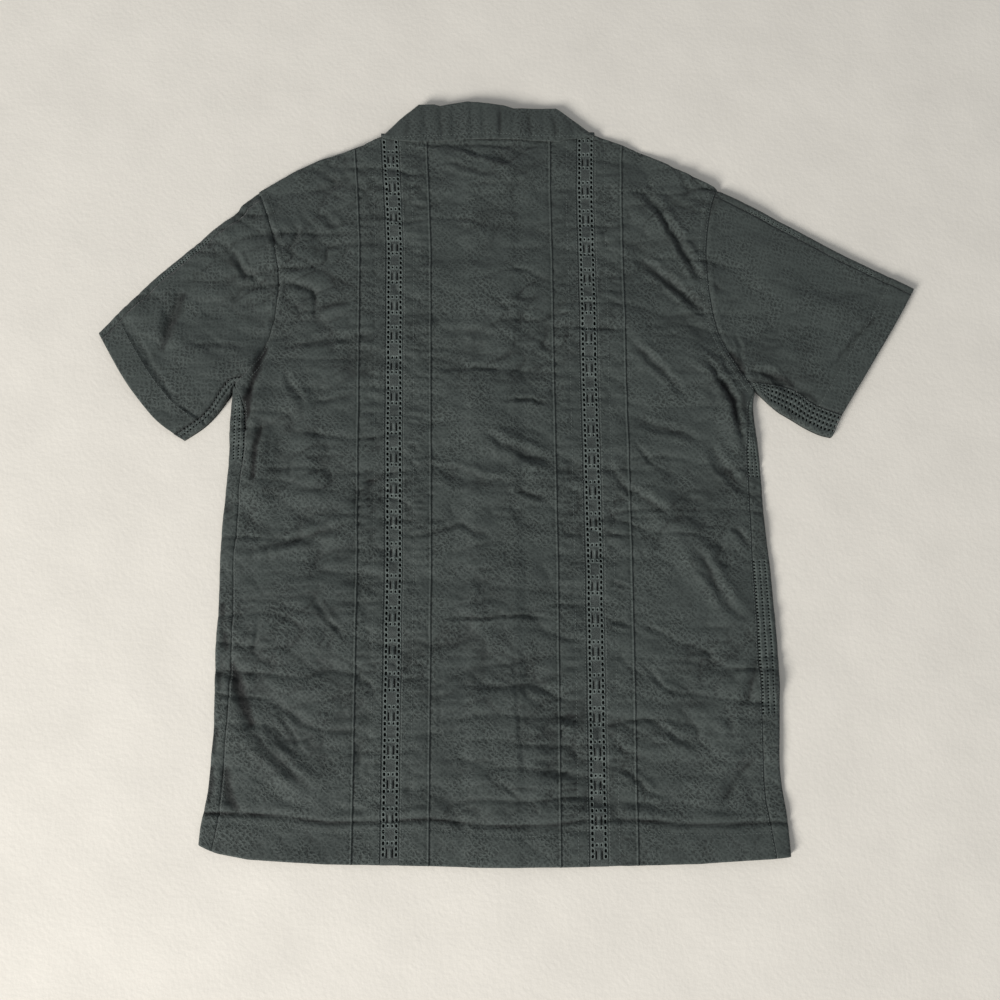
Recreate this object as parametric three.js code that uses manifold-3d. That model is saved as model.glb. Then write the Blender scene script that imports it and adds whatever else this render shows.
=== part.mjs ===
// Cabana shirt: short sleeves, open collar, two lace bands let into the back.
// It lies flat with its back up: the hem toward -Y, the collar toward +Y, the floor at z = 0.
// Every piece of cloth is a wall cut from a wavy layer, and the layers lie on each other.
// Sizes are in millimetres.
import * as THREE from "three";
import { mergeVertices } from "three/addons/utils/BufferGeometryUtils.js";
import Module from "manifold-3d";

const wasm = await Module();
wasm.setup();

// Cloth and seams
const WALL = 1.2;
const CLEAR = 0.3;
const LEVEL = WALL + CLEAR;
const SEAM_GAP = 0.3;
const CUTTER_LOW = -5;
const CUTTER_HIGH = 30;
const FAR_COLUMN = 440;
const SAME_POINT = 0.01;
const STRIP_OVERRUN = 5;
const NECKLINE_STEPS = 8;

// Back: lace bands, tucks beside them, turned hem
const BAND_OFFSET = 99;
const BAND_WIDTH = 17.5;
const TUCK_OFFSET = 36.5;
const TUCK_HALF_WIDTH = 1.6;
const TUCK_HEIGHT = 0.9;
const HEM_TOP = -352;
const HEM_EXTRA = 0.6;
const CUFF_DEPTH = 26;
const CUFF_EXTRA = 0.6;

// Front: lap at the centre, buttons, neckline
const LAP_HALF_WIDTH = 17;
const LAP_LEVEL_HALF = 18.5;
const LAP_RAMP_END = 32;
const BUTTON_COUNT = 6;
const BUTTON_PITCH = 100;
const TOP_BUTTON_Y = 250;
const BUTTON_RADIUS = 5.75;
const BUTTON_HEIGHT = 2.2;
const BUTTON_RIM = 1.1;
const BUTTON_DISH = 0.5;
const BUTTON_SIDES = 18;
const BUTTON_LIFT = BUTTON_HEIGHT + CLEAR;
const BUTTON_FLAT = 9;
const BUTTON_FADE = 27;
const FRONT_NECK_Y = 274;
const SHOULDER_WRAP = 3;

// Collar
const NECK_HALF_WIDTH = 94;
const NECK_SIDE_Y = 356;
const NECK_BACK_Y = 348;
const COLLAR_TILT = 0.018;
const COLLAR_END_C = 3;
const ROLL_CORNER_C = 72;
const COLLAR_LIFT_HALF = BAND_OFFSET + TUCK_OFFSET + TUCK_HALF_WIDTH;
const COLLAR_LIFT_FADE = 22;
const COLLAR_LIFT_Y = 200;

// The middle line of the back leans a little: its x at some heights.
const MIDDLE_LINE = [
  { y: -400, x: -12.5 },
  { y: -100, x: -13 },
  { y: 100, x: -15.5 },
  { y: 210, x: -16.5 },
  { y: 320, x: -19.5 },
  { y: 400, x: -21 },
];

// Body sides: the folded edge and the side seam that lies on top, left and right.
const BODY_SIDES = [
  { y: -370, edgeLeft: -293, seamLeft: -280, seamRight: 254, edgeRight: 268 },
  { y: -350, edgeLeft: -292, seamLeft: -275, seamRight: 250, edgeRight: 267 },
  { y: -328, edgeLeft: -287, seamLeft: -273, seamRight: 246, edgeRight: 264 },
  { y: -295, edgeLeft: -285, seamLeft: -272, seamRight: 245, edgeRight: 260 },
  { y: -250, edgeLeft: -283, seamLeft: -270, seamRight: 245, edgeRight: 263 },
  { y: -195, edgeLeft: -285, seamLeft: -268, seamRight: 244, edgeRight: 264 },
  { y: -140, edgeLeft: -283, seamLeft: -268, seamRight: 243, edgeRight: 261 },
  { y: -100, edgeLeft: -284, seamLeft: -270, seamRight: 242, edgeRight: 259 },
  { y: -60, edgeLeft: -283, seamLeft: -267, seamRight: 241, edgeRight: 255 },
  { y: -20, edgeLeft: -280, seamLeft: -267, seamRight: 242, edgeRight: 254 },
  { y: 5, edgeLeft: -279, seamLeft: -263, seamRight: 240, edgeRight: 253 },
  { y: 40, edgeLeft: -280, seamLeft: -263, seamRight: 242, edgeRight: 249 },
  { y: 62, edgeLeft: -278, seamLeft: -265, seamRight: 244, edgeRight: 248 },
];

const HEM_LINE = [
  { x: -300, y: -362 },
  { x: -290, y: -371 },
  { x: -273, y: -377 },
  { x: -245, y: -382 },
  { x: -170, y: -386 },
  { x: -20, y: -389 },
  { x: 60, y: -389 },
  { x: 182, y: -386 },
  { x: 254, y: -381 },
  { x: 275, y: -378 },
];

// Shoulder edge below the neck point, then the sleeve's upper edge down to the cuff.
const SHOULDER_LEFT = [
  { x: -132, y: 346 },
  { x: -160, y: 333 },
  { x: -192, y: 324 },
  { x: -223, y: 309 },
  { x: -259, y: 286 },
];
const SHOULDER_RIGHT = [
  { x: 92, y: 350 },
  { x: 140, y: 331 },
  { x: 172, y: 315 },
  { x: 219, y: 288 },
];
const SLEEVE_TOP_LEFT = [
  { x: -259, y: 286 },
  { x: -276, y: 273 },
  { x: -282, y: 261 },
  { x: -299, y: 249 },
  { x: -329, y: 222 },
  { x: -359, y: 196 },
  { x: -388, y: 165 },
  { x: -417, y: 134 },
];
const SLEEVE_TOP_RIGHT = [
  { x: 219, y: 288 },
  { x: 249, y: 273 },
  { x: 310, y: 239 },
  { x: 341, y: 220 },
  { x: 371, y: 205 },
  { x: 418, y: 181 },
];
const CUFF_LEFT = [
  { x: -417, y: 134 },
  { x: -400, y: 104 },
  { x: -384, y: 79 },
  { x: -367, y: 57 },
  { x: -351, y: 39 },
  { x: -325, y: 22 },
];
const CUFF_RIGHT = [
  { x: 418, y: 181 },
  { x: 400, y: 149 },
  { x: 374, y: 107 },
  { x: 348, y: 66 },
  { x: 335, y: 45 },
  { x: 326, y: 25 },
];
const SLEEVE_LOW_LEFT = [
  { x: -325, y: 22 },
  { x: -305, y: 35 },
  { x: -291, y: 51 },
  { x: -280, y: 68 },
  { x: -277, y: 79 },
];
const SLEEVE_LOW_RIGHT = [
  { x: 326, y: 25 },
  { x: 316, y: 27 },
  { x: 301, y: 34 },
  { x: 286, y: 44 },
  { x: 271, y: 53 },
  { x: 257, y: 67 },
  { x: 251, y: 73 },
];

// Armhole seams, from the shoulder down to the underarm.
const ARMHOLE_LEFT = [
  { x: -259, y: 286 },
  { x: -250, y: 265 },
  { x: -242, y: 239 },
  { x: -235, y: 205 },
  { x: -234, y: 173 },
  { x: -239, y: 139 },
  { x: -252, y: 107 },
  { x: -268, y: 87 },
  { x: -277, y: 79 },
];
const ARMHOLE_RIGHT = [
  { x: 219, y: 288 },
  { x: 211, y: 265 },
  { x: 206, y: 232 },
  { x: 205, y: 199 },
  { x: 210, y: 157 },
  { x: 220, y: 122 },
  { x: 235, y: 98 },
  { x: 245, y: 82 },
  { x: 251, y: 73 },
];

// Seams where the openwork front half of each sleeve wraps on to the upper side.
const SLEEVE_WRAP = 8;
const UNDERARM_LEFT = [
  { x: -335, y: 28 },
  { x: -312, y: 43 },
  { x: -299, y: 57 },
  { x: -289, y: 74 },
  { x: -282, y: 85 },
  { x: -268, y: 87 },
];
const UNDERARM_RIGHT = [
  { x: 337, y: 48 },
  { x: 322, y: 53 },
  { x: 307, y: 60 },
  { x: 293, y: 74 },
  { x: 278, y: 79 },
  { x: 261, y: 81 },
  { x: 245, y: 82 },
];

// Collar, by distance from the middle line: its rolled top edge and the lower edge of its fall.
const COLLAR_EDGES = [
  { c: -112, roll: 348, leaf: 346 },
  { c: -92, roll: 369, leaf: 346 },
  { c: -72, roll: 386, leaf: 344 },
  { c: -50, roll: 385, leaf: 340 },
  { c: -21, roll: 389, leaf: 338 },
  { c: 17, roll: 385, leaf: 338 },
  { c: 36, roll: 381, leaf: 337 },
  { c: 63, roll: 382, leaf: 337 },
  { c: 73, roll: 382, leaf: 345 },
  { c: 92, roll: 365, leaf: 349 },
  { c: 112, roll: 348, leaf: 347 },
];

// Front of the collar, under the fronts: its rolled edge, then the leaf's outer edge.
const FRONT_ROLL = [
  { c: 72, y: 386 },
  { c: 76, y: 350 },
  { c: 66, y: 319 },
  { c: 50, y: 301 },
  { c: 28, y: 288 },
  { c: COLLAR_END_C, y: 283 },
];
const FRONT_LEAF = [
  { c: 112, y: 348 },
  { c: 113, y: 300 },
  { c: 98, y: 255 },
  { c: 80, y: 226 },
  { c: 40, y: 250 },
  { c: COLLAR_END_C, y: 270 },
];

// Largest folds of the upper layer: soft ridges along a line.
const FOLDS = [
  { x1: -262, y1: 95, x2: -246, y2: -30, height: 2.6, width: 15 },
  { x1: -268, y1: -96, x2: -154, y2: -60, height: 1.8, width: 15 },
  { x1: -258, y1: -262, x2: -185, y2: -322, height: 2.4, width: 16 },
  { x1: -215, y1: 60, x2: -190, y2: -25, height: 1.5, width: 15 },
  { x1: -64, y1: 325, x2: 20, y2: 298, height: 1.6, width: 14 },
  { x1: -75, y1: -140, x2: 50, y2: -147, height: 1.4, width: 14 },
  { x1: -30, y1: 45, x2: 44, y2: -24, height: 1.5, width: 14 },
  { x1: 25, y1: -231, x2: 32, y2: -330, height: 1.3, width: 14 },
  { x1: 120, y1: 290, x2: 200, y2: 190, height: 2.0, width: 16 },
  { x1: 122, y1: 150, x2: 172, y2: 92, height: 1.6, width: 15 },
  { x1: 188, y1: 118, x2: 235, y2: 25, height: 2.6, width: 16 },
  { x1: 146, y1: -30, x2: 226, y2: -146, height: 2.4, width: 17 },
  { x1: 190, y1: -325, x2: 248, y2: -215, height: 2.6, width: 17 },
  { x1: -380, y1: 150, x2: -300, y2: 100, height: 1.8, width: 16 },
  { x1: 270, y1: 190, x2: 352, y2: 150, height: 1.8, width: 16 },
];

// Columns of the layers, by distance from the middle line, mirrored; close together at tucks and lap.
const CLOTH_COLUMNS = [
  BUTTON_FLAT,
  LAP_LEVEL_HALF,
  LAP_RAMP_END,
  46,
  BAND_OFFSET - TUCK_OFFSET - TUCK_HALF_WIDTH,
  BAND_OFFSET - TUCK_OFFSET,
  BAND_OFFSET - TUCK_OFFSET + TUCK_HALF_WIDTH,
  76,
  BAND_OFFSET - BAND_WIDTH / 2,
  BAND_OFFSET + BAND_WIDTH / 2,
  121,
  BAND_OFFSET + TUCK_OFFSET - TUCK_HALF_WIDTH,
  BAND_OFFSET + TUCK_OFFSET,
  COLLAR_LIFT_HALF,
  COLLAR_LIFT_HALF + COLLAR_LIFT_FADE,
  180,
  201,
  223,
  246,
  270,
  298,
  326,
  354,
  382,
  410,
  FAR_COLUMN,
];
// The fronts bend only at the lap and round the collar, so their layers need fewer columns.
const FRONT_COLUMNS = [
  BUTTON_FLAT,
  LAP_LEVEL_HALF,
  LAP_RAMP_END,
  COLLAR_LIFT_HALF,
  COLLAR_LIFT_HALF + COLLAR_LIFT_FADE,
  FAR_COLUMN,
];
const ROWS_BELOW_BUTTONS = [-392, -368, HEM_TOP, -336, -312, -286];
const ROWS_ABOVE_BUTTONS = [286, 312, 336, 356, 376, 396];

function clamp01(value) {
  return Math.min(1, Math.max(0, value));
}

// Soft step from 0 to 1 as value goes from start to end.
function softStep(start, end, value) {
  const t = clamp01((value - start) / (end - start));
  return t * t * (3 - 2 * t);
}

// Value of a table's column at a position, straight between its rows.
function lookUp(table, key, column, position) {
  const last = table.length - 1;
  if (position <= table[0][key]) return table[0][column];
  if (position >= table[last][key]) return table[last][column];
  const next = table.findIndex((row) => row[key] >= position);
  const before = table[next - 1];
  const after = table[next];
  const t = (position - before[key]) / (after[key] - before[key]);
  return before[column] + t * (after[column] - before[column]);
}

// x of the point at distance c from the shirt's middle line.
function clothX(c, y) {
  return lookUp(MIDDLE_LINE, "y", "x", y) + c;
}

function clothPoint(c, y) {
  return { x: clothX(c, y), y };
}

// Distance from a point to a straight line piece.
function distanceToLine(x, y, line) {
  const dx = line.x2 - line.x1;
  const dy = line.y2 - line.y1;
  const t = clamp01(((x - line.x1) * dx + (y - line.y1) * dy) / (dx * dx + dy * dy));
  return Math.hypot(x - line.x1 - t * dx, y - line.y1 - t * dy);
}

function distanceToCurve(x, y, curve) {
  let nearest = Infinity;
  for (let i = 1; i < curve.length; i += 1) {
    const line = { x1: curve[i - 1].x, y1: curve[i - 1].y, x2: curve[i].x, y2: curve[i].y };
    nearest = Math.min(nearest, distanceToLine(x, y, line));
  }
  return nearest;
}

// The collar's front leaves lie under the fronts and lift them by one level.
function collarLift(c, y) {
  const across = 1 - softStep(COLLAR_LIFT_HALF, COLLAR_LIFT_HALF + COLLAR_LIFT_FADE, Math.abs(c));
  const along = softStep(COLLAR_LIFT_Y - COLLAR_LIFT_FADE, COLLAR_LIFT_Y, y);
  return LEVEL * across * along;
}

function buttonY(index) {
  return TOP_BUTTON_Y - index * BUTTON_PITCH;
}

// Each button lifts the cloth above it and the lift fades out all round.
function buttonLift(c, y) {
  let lift = 0;
  for (let i = 0; i < BUTTON_COUNT; i += 1) {
    const across = 1 - softStep(BUTTON_FLAT, BUTTON_FLAT + BUTTON_FADE, Math.abs(c));
    const along = 1 - softStep(BUTTON_FLAT, BUTTON_FLAT + BUTTON_FADE, Math.abs(y - buttonY(i)));
    lift = Math.max(lift, BUTTON_LIFT * across * along);
  }
  return lift;
}

// The right front laps over the left front and is lifted by one level there.
function lapLift(distance, y) {
  const across = 1 - softStep(LAP_LEVEL_HALF, LAP_RAMP_END, distance);
  const along = 1 - softStep(FRONT_NECK_Y + 12, FRONT_NECK_Y + 38, y);
  return LEVEL * across * along;
}

function foldLift(x, y) {
  let lift = 0;
  for (const fold of FOLDS) {
    const ratio = distanceToLine(x, y, fold) / fold.width;
    lift += fold.height * Math.exp(-ratio * ratio);
  }
  return lift;
}

// Tucks are raised in the outer points only.
function tuckLift(c) {
  const side = Math.abs(Math.abs(c) - BAND_OFFSET);
  return TUCK_HEIGHT * clamp01(1 - Math.abs(side - TUCK_OFFSET) / TUCK_HALF_WIDTH);
}

// The turned hem and cuffs are thicker on their outer side.
function turnedEdgeExtra(x, y) {
  const hem = HEM_EXTRA * clamp01((HEM_TOP - y) / 2 + 1);
  const cuffDistance = Math.min(
    distanceToCurve(x, y, CUFF_LEFT),
    distanceToCurve(x, y, CUFF_RIGHT),
  );
  return Math.max(hem, CUFF_EXTRA * (1 - softStep(CUFF_DEPTH - 4, CUFF_DEPTH + 4, cuffDistance)));
}

// Heights of the layers at a point of the cloth, each the underside of its wall.
function frontBottom(c, x, y) {
  return Math.max(collarLift(c, y), buttonLift(c, y));
}

function rightFrontBottom(c, x, y) {
  return frontBottom(c, x, y) + lapLift(Math.max(0, c), y);
}

function backBottom(c, x, y) {
  return LEVEL + frontBottom(c, x, y) + lapLift(Math.abs(c), y) + foldLift(x, y);
}

function backTop(c, x, y) {
  return backBottom(c, x, y) + WALL + tuckLift(c) + turnedEdgeExtra(x, y);
}

function floorLevel() {
  return 0;
}

function fallBottom(c, x, y) {
  return backTop(c, x, y) + CLEAR;
}

function raised(bottom) {
  return (c, x, y) => bottom(c, x, y) + WALL;
}

function mirroredColumns(half) {
  return [...half.map((c) => -c).reverse(), ...half];
}

function gridRows() {
  const rows = [...ROWS_BELOW_BUTTONS, ...ROWS_ABOVE_BUTTONS];
  for (let i = 0; i < BUTTON_COUNT; i += 1) {
    rows.push(buttonY(i) + BUTTON_FLAT, buttonY(i) - BUTTON_FLAT);
    if (i < BUTTON_COUNT - 1) {
      rows.push(buttonY(i) - BUTTON_FLAT - BUTTON_FADE, buttonY(i + 1) + BUTTON_FLAT + BUTTON_FADE);
    }
  }
  return rows.sort((a, b) => a - b);
}

const COLUMNS = mirroredColumns(CLOTH_COLUMNS);
const ROWS = gridRows();

// A closed layer over the whole grid, between two height functions of (c, x, y).
function layer(bottom, top, columns = COLUMNS) {
  const across = columns.length;
  const along = ROWS.length;
  const positions = [];
  for (const height of [bottom, top]) {
    for (const y of ROWS) {
      for (const c of columns) {
        const x = clothX(c, y);
        positions.push(x, y, height(c, x, y));
      }
    }
  }
  const low = (i, j) => j * across + i;
  const high = (i, j) => across * along + low(i, j);
  const triangles = [];
  const quad = (a, b, c, d) => triangles.push(a, b, c, a, c, d);
  for (let j = 0; j < along - 1; j += 1) {
    for (let i = 0; i < across - 1; i += 1) {
      quad(high(i, j), high(i + 1, j), high(i + 1, j + 1), high(i, j + 1));
      triangles.push(low(i, j), low(i + 1, j + 1), low(i + 1, j));
      triangles.push(low(i, j), low(i, j + 1), low(i + 1, j + 1));
    }
  }
  for (let i = 0; i < across - 1; i += 1) {
    quad(low(i, 0), low(i + 1, 0), high(i + 1, 0), high(i, 0));
    quad(low(i + 1, along - 1), low(i, along - 1), high(i, along - 1), high(i + 1, along - 1));
  }
  for (let j = 0; j < along - 1; j += 1) {
    quad(low(0, j + 1), low(0, j), high(0, j), high(0, j + 1));
    quad(low(across - 1, j), low(across - 1, j + 1), high(across - 1, j + 1), high(across - 1, j));
  }
  const geometry = new THREE.BufferGeometry();
  geometry.setAttribute("position", new THREE.Float32BufferAttribute(positions, 3));
  geometry.setIndex(triangles);
  return toSolid(geometry);
}

function toSolid(geometry) {
  const bare = geometry.index ? geometry.toNonIndexed() : geometry.clone();
  bare.deleteAttribute("normal");
  bare.deleteAttribute("uv");
  const merged = mergeVertices(bare, 1e-4);
  return new wasm.Manifold(
    new wasm.Mesh({
      numProp: 3,
      vertProperties: new Float32Array(merged.attributes.position.array),
      triVerts: new Uint32Array(merged.index.array),
    }),
  );
}

// Closed outline moved inward; a negative distance moves it outward.
function drawnIn(outline, distance) {
  const corners = outline.map((p) => new THREE.Vector2(p.x, p.y));
  const last = corners.length - 1;
  const points = corners.filter((p, i) => p.distanceTo(corners[i === 0 ? last : i - 1]) > SAME_POINT);
  if (THREE.ShapeUtils.area(points) < 0) points.reverse();
  const count = points.length;
  return points.map((point, i) => {
    const before = point.clone().sub(points[(i + count - 1) % count]).normalize();
    const after = points[(i + 1) % count].clone().sub(point).normalize();
    const normal = new THREE.Vector2(-before.y - after.y, before.x + after.x).normalize();
    const slant = Math.max(0.5, normal.x * -after.y + normal.y * after.x);
    return point.clone().addScaledVector(normal, distance / slant);
  });
}

// Straight-sided cutter over an outline, half a gap inside it, so that neighbours stay a gap apart.
function cutter(outline, inset = SEAM_GAP / 2) {
  const shape = new THREE.Shape(drawnIn(outline, inset));
  const depth = CUTTER_HIGH - CUTTER_LOW;
  const geometry = new THREE.ExtrudeGeometry(shape, { depth, bevelEnabled: false });
  return toSolid(geometry.translate(0, 0, CUTTER_LOW));
}

// The same, but half a gap outside its outline: it clears room for a neighbour.
function clearing(outline) {
  return cutter(outline, -SEAM_GAP / 2);
}

// Outline between two curves that run the same way.
function between(first, second) {
  return [...first, ...second.slice().reverse()];
}

// Curve moved sideways; a positive distance moves it to the left of its direction.
function beside(curve, distance) {
  return curve.map((point, i) => {
    const a = curve[Math.max(0, i - 1)];
    const b = curve[Math.min(curve.length - 1, i + 1)];
    const length = Math.hypot(b.x - a.x, b.y - a.y);
    const x = point.x - (distance * (b.y - a.y)) / length;
    const y = point.y + (distance * (b.x - a.x)) / length;
    return { x, y };
  });
}

function hemPoints(fromX, toX) {
  const inner = HEM_LINE.filter((p) => p.x > fromX + 2 && p.x < toX - 2);
  const end = (x) => ({ x, y: lookUp(HEM_LINE, "x", "y", x) });
  return [end(fromX), ...inner, end(toX)];
}

// A column of the body side table as a curve, from the hem up.
function sideCurve(column) {
  return BODY_SIDES.map((row) => ({ x: row[column], y: row.y }));
}

function reversed(curve) {
  return curve.slice().reverse();
}

// Shoulder edge from the neck point down to the armhole, on one side (-1 or 1).
function shoulderCurve(side) {
  const neckPoint = clothPoint(side * NECK_HALF_WIDTH, NECK_SIDE_Y + side * NECK_HALF_WIDTH * COLLAR_TILT);
  return [neckPoint, ...(side < 0 ? SHOULDER_LEFT : SHOULDER_RIGHT)];
}

// Back neckline from the left neck point to the right one.
function backNeckline() {
  const points = [];
  for (let i = 0; i <= NECKLINE_STEPS; i += 1) {
    const c = NECK_HALF_WIDTH * ((2 * i) / NECKLINE_STEPS - 1);
    const rise = (NECK_SIDE_Y - NECK_BACK_Y) * (c / NECK_HALF_WIDTH) ** 2;
    points.push(clothPoint(c, NECK_BACK_Y + rise + c * COLLAR_TILT));
  }
  return points;
}

// Front neckline from a neck point (side -1 or 1) down to its end at distance endC.
function frontNeckline(side, endC) {
  const points = [];
  for (let i = 0; i <= NECKLINE_STEPS; i += 1) {
    const angle = ((i / NECKLINE_STEPS) * Math.PI) / 2;
    const c = side * NECK_HALF_WIDTH * Math.cos(angle);
    const drop = (NECK_SIDE_Y - FRONT_NECK_Y) * Math.sin(angle);
    if (side * c > side * endC + 1) points.push(clothPoint(c, NECK_SIDE_Y - drop + c * COLLAR_TILT));
  }
  points.push(clothPoint(endC, FRONT_NECK_Y));
  return points;
}

// Outline of the whole back, from side seam to side seam.
function backOutline() {
  const seamLeft = sideCurve("seamLeft");
  const seamRight = sideCurve("seamRight");
  return [
    ...hemPoints(seamLeft[0].x, seamRight[0].x),
    ...seamRight.slice(1),
    ...reversed(ARMHOLE_RIGHT).slice(0, -1),
    ...reversed(beside(shoulderCurve(1), -SHOULDER_WRAP)),
    ...reversed(backNeckline()).slice(1, -1),
    ...beside(shoulderCurve(-1), SHOULDER_WRAP),
    ...ARMHOLE_LEFT.slice(1),
    ...reversed(seamLeft).slice(0, -1),
  ];
}

// Strip of the back between two distances from the middle line.
function backStrip(fromC, toC) {
  const low = ROWS[0] - STRIP_OVERRUN;
  const high = ROWS[ROWS.length - 1] + STRIP_OVERRUN;
  const steps = MIDDLE_LINE.filter((row) => row.y > low && row.y < high).map((row) => row.y);
  const heights = [low, ...steps, high];
  const left = heights.map((y) => clothPoint(fromC, y));
  const right = heights.map((y) => clothPoint(toC, y));
  return between(right, left);
}

function frontOutline(side) {
  const left = side < 0;
  const lapC = left ? LAP_HALF_WIDTH : -LAP_HALF_WIDTH;
  const edge = sideCurve(left ? "edgeLeft" : "edgeRight");
  const armhole = left ? ARMHOLE_LEFT : ARMHOLE_RIGHT;
  const lapX = clothX(lapC, HEM_TOP);
  const hem = left ? hemPoints(edge[0].x, lapX) : reversed(hemPoints(lapX, edge[0].x));
  return [
    ...reversed(hem),
    ...edge.slice(1),
    ...reversed(armhole).slice(0, -1),
    ...reversed(shoulderCurve(side)),
    ...frontNeckline(side, lapC).slice(1),
  ];
}

function joined(solids) {
  return solids.reduce((whole, solid) => whole.add(solid));
}

// The piece without the specks that a cut may leave beside it.
function largestBody(solid) {
  return solid.decompose().reduce((best, body) => (body.volume() > best.volume() ? body : best));
}

// Bottom layer inside an outline, folded edges, and the wrapped strips on top, in one wall.
// The folded edges leave the room free.
function wrappedPiece(bottomLayer, fullLayer, topLayer, outline, edges, room) {
  const solids = [bottomLayer.intersect(cutter(outline))];
  for (const edge of edges) {
    const inner = beside(edge.curve, edge.inward * (WALL + SEAM_GAP));
    const folded = fullLayer.intersect(cutter(between(edge.curve, inner)));
    const onTop = topLayer.intersect(cutter(between(edge.curve, edge.seam)));
    solids.push(folded.add(onTop).subtract(room));
  }
  return joined(solids);
}

function buildBack(topLayer) {
  const whole = topLayer
    .intersect(cutter(backOutline()))
    .subtract(clearing(collarSideStrip(-1)))
    .subtract(clearing(collarSideStrip(1)));
  const inner = BAND_OFFSET - BAND_WIDTH / 2;
  const outer = BAND_OFFSET + BAND_WIDTH / 2;
  return {
    back_centre: whole.intersect(cutter(backStrip(-inner, inner))),
    back_lace_left: whole.intersect(cutter(backStrip(-outer, -inner))),
    back_lace_right: whole.intersect(cutter(backStrip(inner, outer))),
    back_left: whole.intersect(cutter(backStrip(-FAR_COLUMN, -outer))),
    back_right: whole.intersect(cutter(backStrip(outer, FAR_COLUMN))),
  };
}

function buildFront(side, layers) {
  const left = side < 0;
  const edge = sideCurve(left ? "edgeLeft" : "edgeRight");
  const seam = sideCurve(left ? "seamLeft" : "seamRight");
  const armhole = left ? ARMHOLE_LEFT : ARMHOLE_RIGHT;
  const underarm = armhole[armhole.length - 1];
  const shoulder = shoulderCurve(side);
  const shoulderInward = left ? 1 : -1;
  const hemStart = { x: edge[0].x, y: lookUp(HEM_LINE, "x", "y", edge[0].x) };
  const seamStart = { x: seam[0].x, y: lookUp(HEM_LINE, "x", "y", seam[0].x) };
  const sideEdge = [hemStart, ...edge.slice(1), underarm];
  const sideSeam = [seamStart, ...seam.slice(1), underarm];
  const whole = wrappedPiece(
    left ? layers.frontLeft : layers.frontRight,
    layers.full,
    layers.top,
    frontOutline(side),
    [
      { curve: sideEdge, seam: sideSeam, inward: left ? -1 : 1 },
      {
        curve: shoulder,
        seam: beside(shoulder, shoulderInward * SHOULDER_WRAP),
        inward: shoulderInward,
      },
    ],
    layers.room.intersect(clearing(backOutline())).add(clearing(collarFrontStand(side))),
  );
  const sleeveRoom = clearing(sleeveOutline(sleeveCurves(side)));
  const collarRoom = clearing(collarSideStrip(side));
  return largestBody(whole.subtract(sleeveRoom).subtract(collarRoom));
}

function sleeveCurves(side) {
  if (side < 0) {
    return {
      top: SLEEVE_TOP_LEFT,
      cuff: CUFF_LEFT,
      low: SLEEVE_LOW_LEFT,
      armhole: ARMHOLE_LEFT,
      underarm: UNDERARM_LEFT,
      inward: 1,
    };
  }
  return {
    top: SLEEVE_TOP_RIGHT,
    cuff: CUFF_RIGHT,
    low: SLEEVE_LOW_RIGHT,
    armhole: ARMHOLE_RIGHT,
    underarm: UNDERARM_RIGHT,
    inward: -1,
  };
}

function sleeveOutline(curves) {
  return [
    ...curves.top,
    ...curves.cuff.slice(1),
    ...curves.low.slice(1),
    ...reversed(curves.armhole).slice(1, -1),
  ];
}

function buildSleeve(side, layers) {
  const curves = sleeveCurves(side);
  const outline = sleeveOutline(curves);
  const bodyRoom = clearing(frontOutline(side));
  const topSeam = beside(curves.top, curves.inward * SLEEVE_WRAP);
  const lowSeam = curves.underarm;
  const edges = [
    { curve: curves.top, seam: topSeam, inward: curves.inward },
    { curve: curves.low, seam: lowSeam, inward: curves.inward },
  ];
  const front = wrappedPiece(layers.frontLeft, layers.full, layers.top, outline, edges, bodyRoom);
  const outward = -STRIP_OVERRUN * curves.inward;
  const topStrip = clearing(between(beside(curves.top, outward), topSeam));
  const lowStrip = clearing(between(beside(curves.low, outward), lowSeam));
  const back = layers.top.intersect(cutter(outline)).subtract(topStrip).subtract(lowStrip);
  return {
    front: largestBody(front.intersect(cutter(outline)).subtract(bodyRoom)),
    back: largestBody(back.subtract(bodyRoom)),
  };
}

function collarTop() {
  return COLLAR_EDGES.map((row) => clothPoint(row.c, row.roll + row.c * COLLAR_TILT));
}

function collarLeafEdge() {
  return COLLAR_EDGES.map((row) => clothPoint(row.c, row.leaf + row.c * COLLAR_TILT));
}

// Slanting side of the collar, from the leaf's corner up to the roll.
function collarCorner(side) {
  return side < 0 ? collarTop().slice(0, 3) : collarTop().slice(-3).reverse();
}

function collarSideStrip(side) {
  const corner = collarCorner(side);
  return between(corner, beside(corner, side * (WALL + SEAM_GAP)));
}

// Front collar curve mirrored to one side.
function collarFrontCurve(side, rows) {
  return rows.map((p) => clothPoint(side * p.c, p.y + side * p.c * COLLAR_TILT));
}

function collarFrontStand(side) {
  return between(collarFrontCurve(side, FRONT_ROLL), frontNeckline(side, side * COLLAR_END_C));
}

// Part of the collar that lies in front of the neck, on one side, under the front.
function buildCollarFront(side, layers) {
  const roll = collarFrontCurve(side, FRONT_ROLL);
  const leaf = collarFrontCurve(side, FRONT_LEAF);
  const corner = collarCorner(side);
  const rollInner = beside(roll, side * -(WALL + SEAM_GAP));
  return [
    layers.leaf.intersect(cutter([...corner, ...roll.slice(1), ...reversed(leaf).slice(0, -1)])),
    layers.frontLeft.intersect(cutter(collarFrontStand(side))),
    layers.frontRoll.intersect(cutter(between(roll, rollInner))),
    layers.collarSide.intersect(cutter(collarSideStrip(side))),
  ];
}

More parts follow.
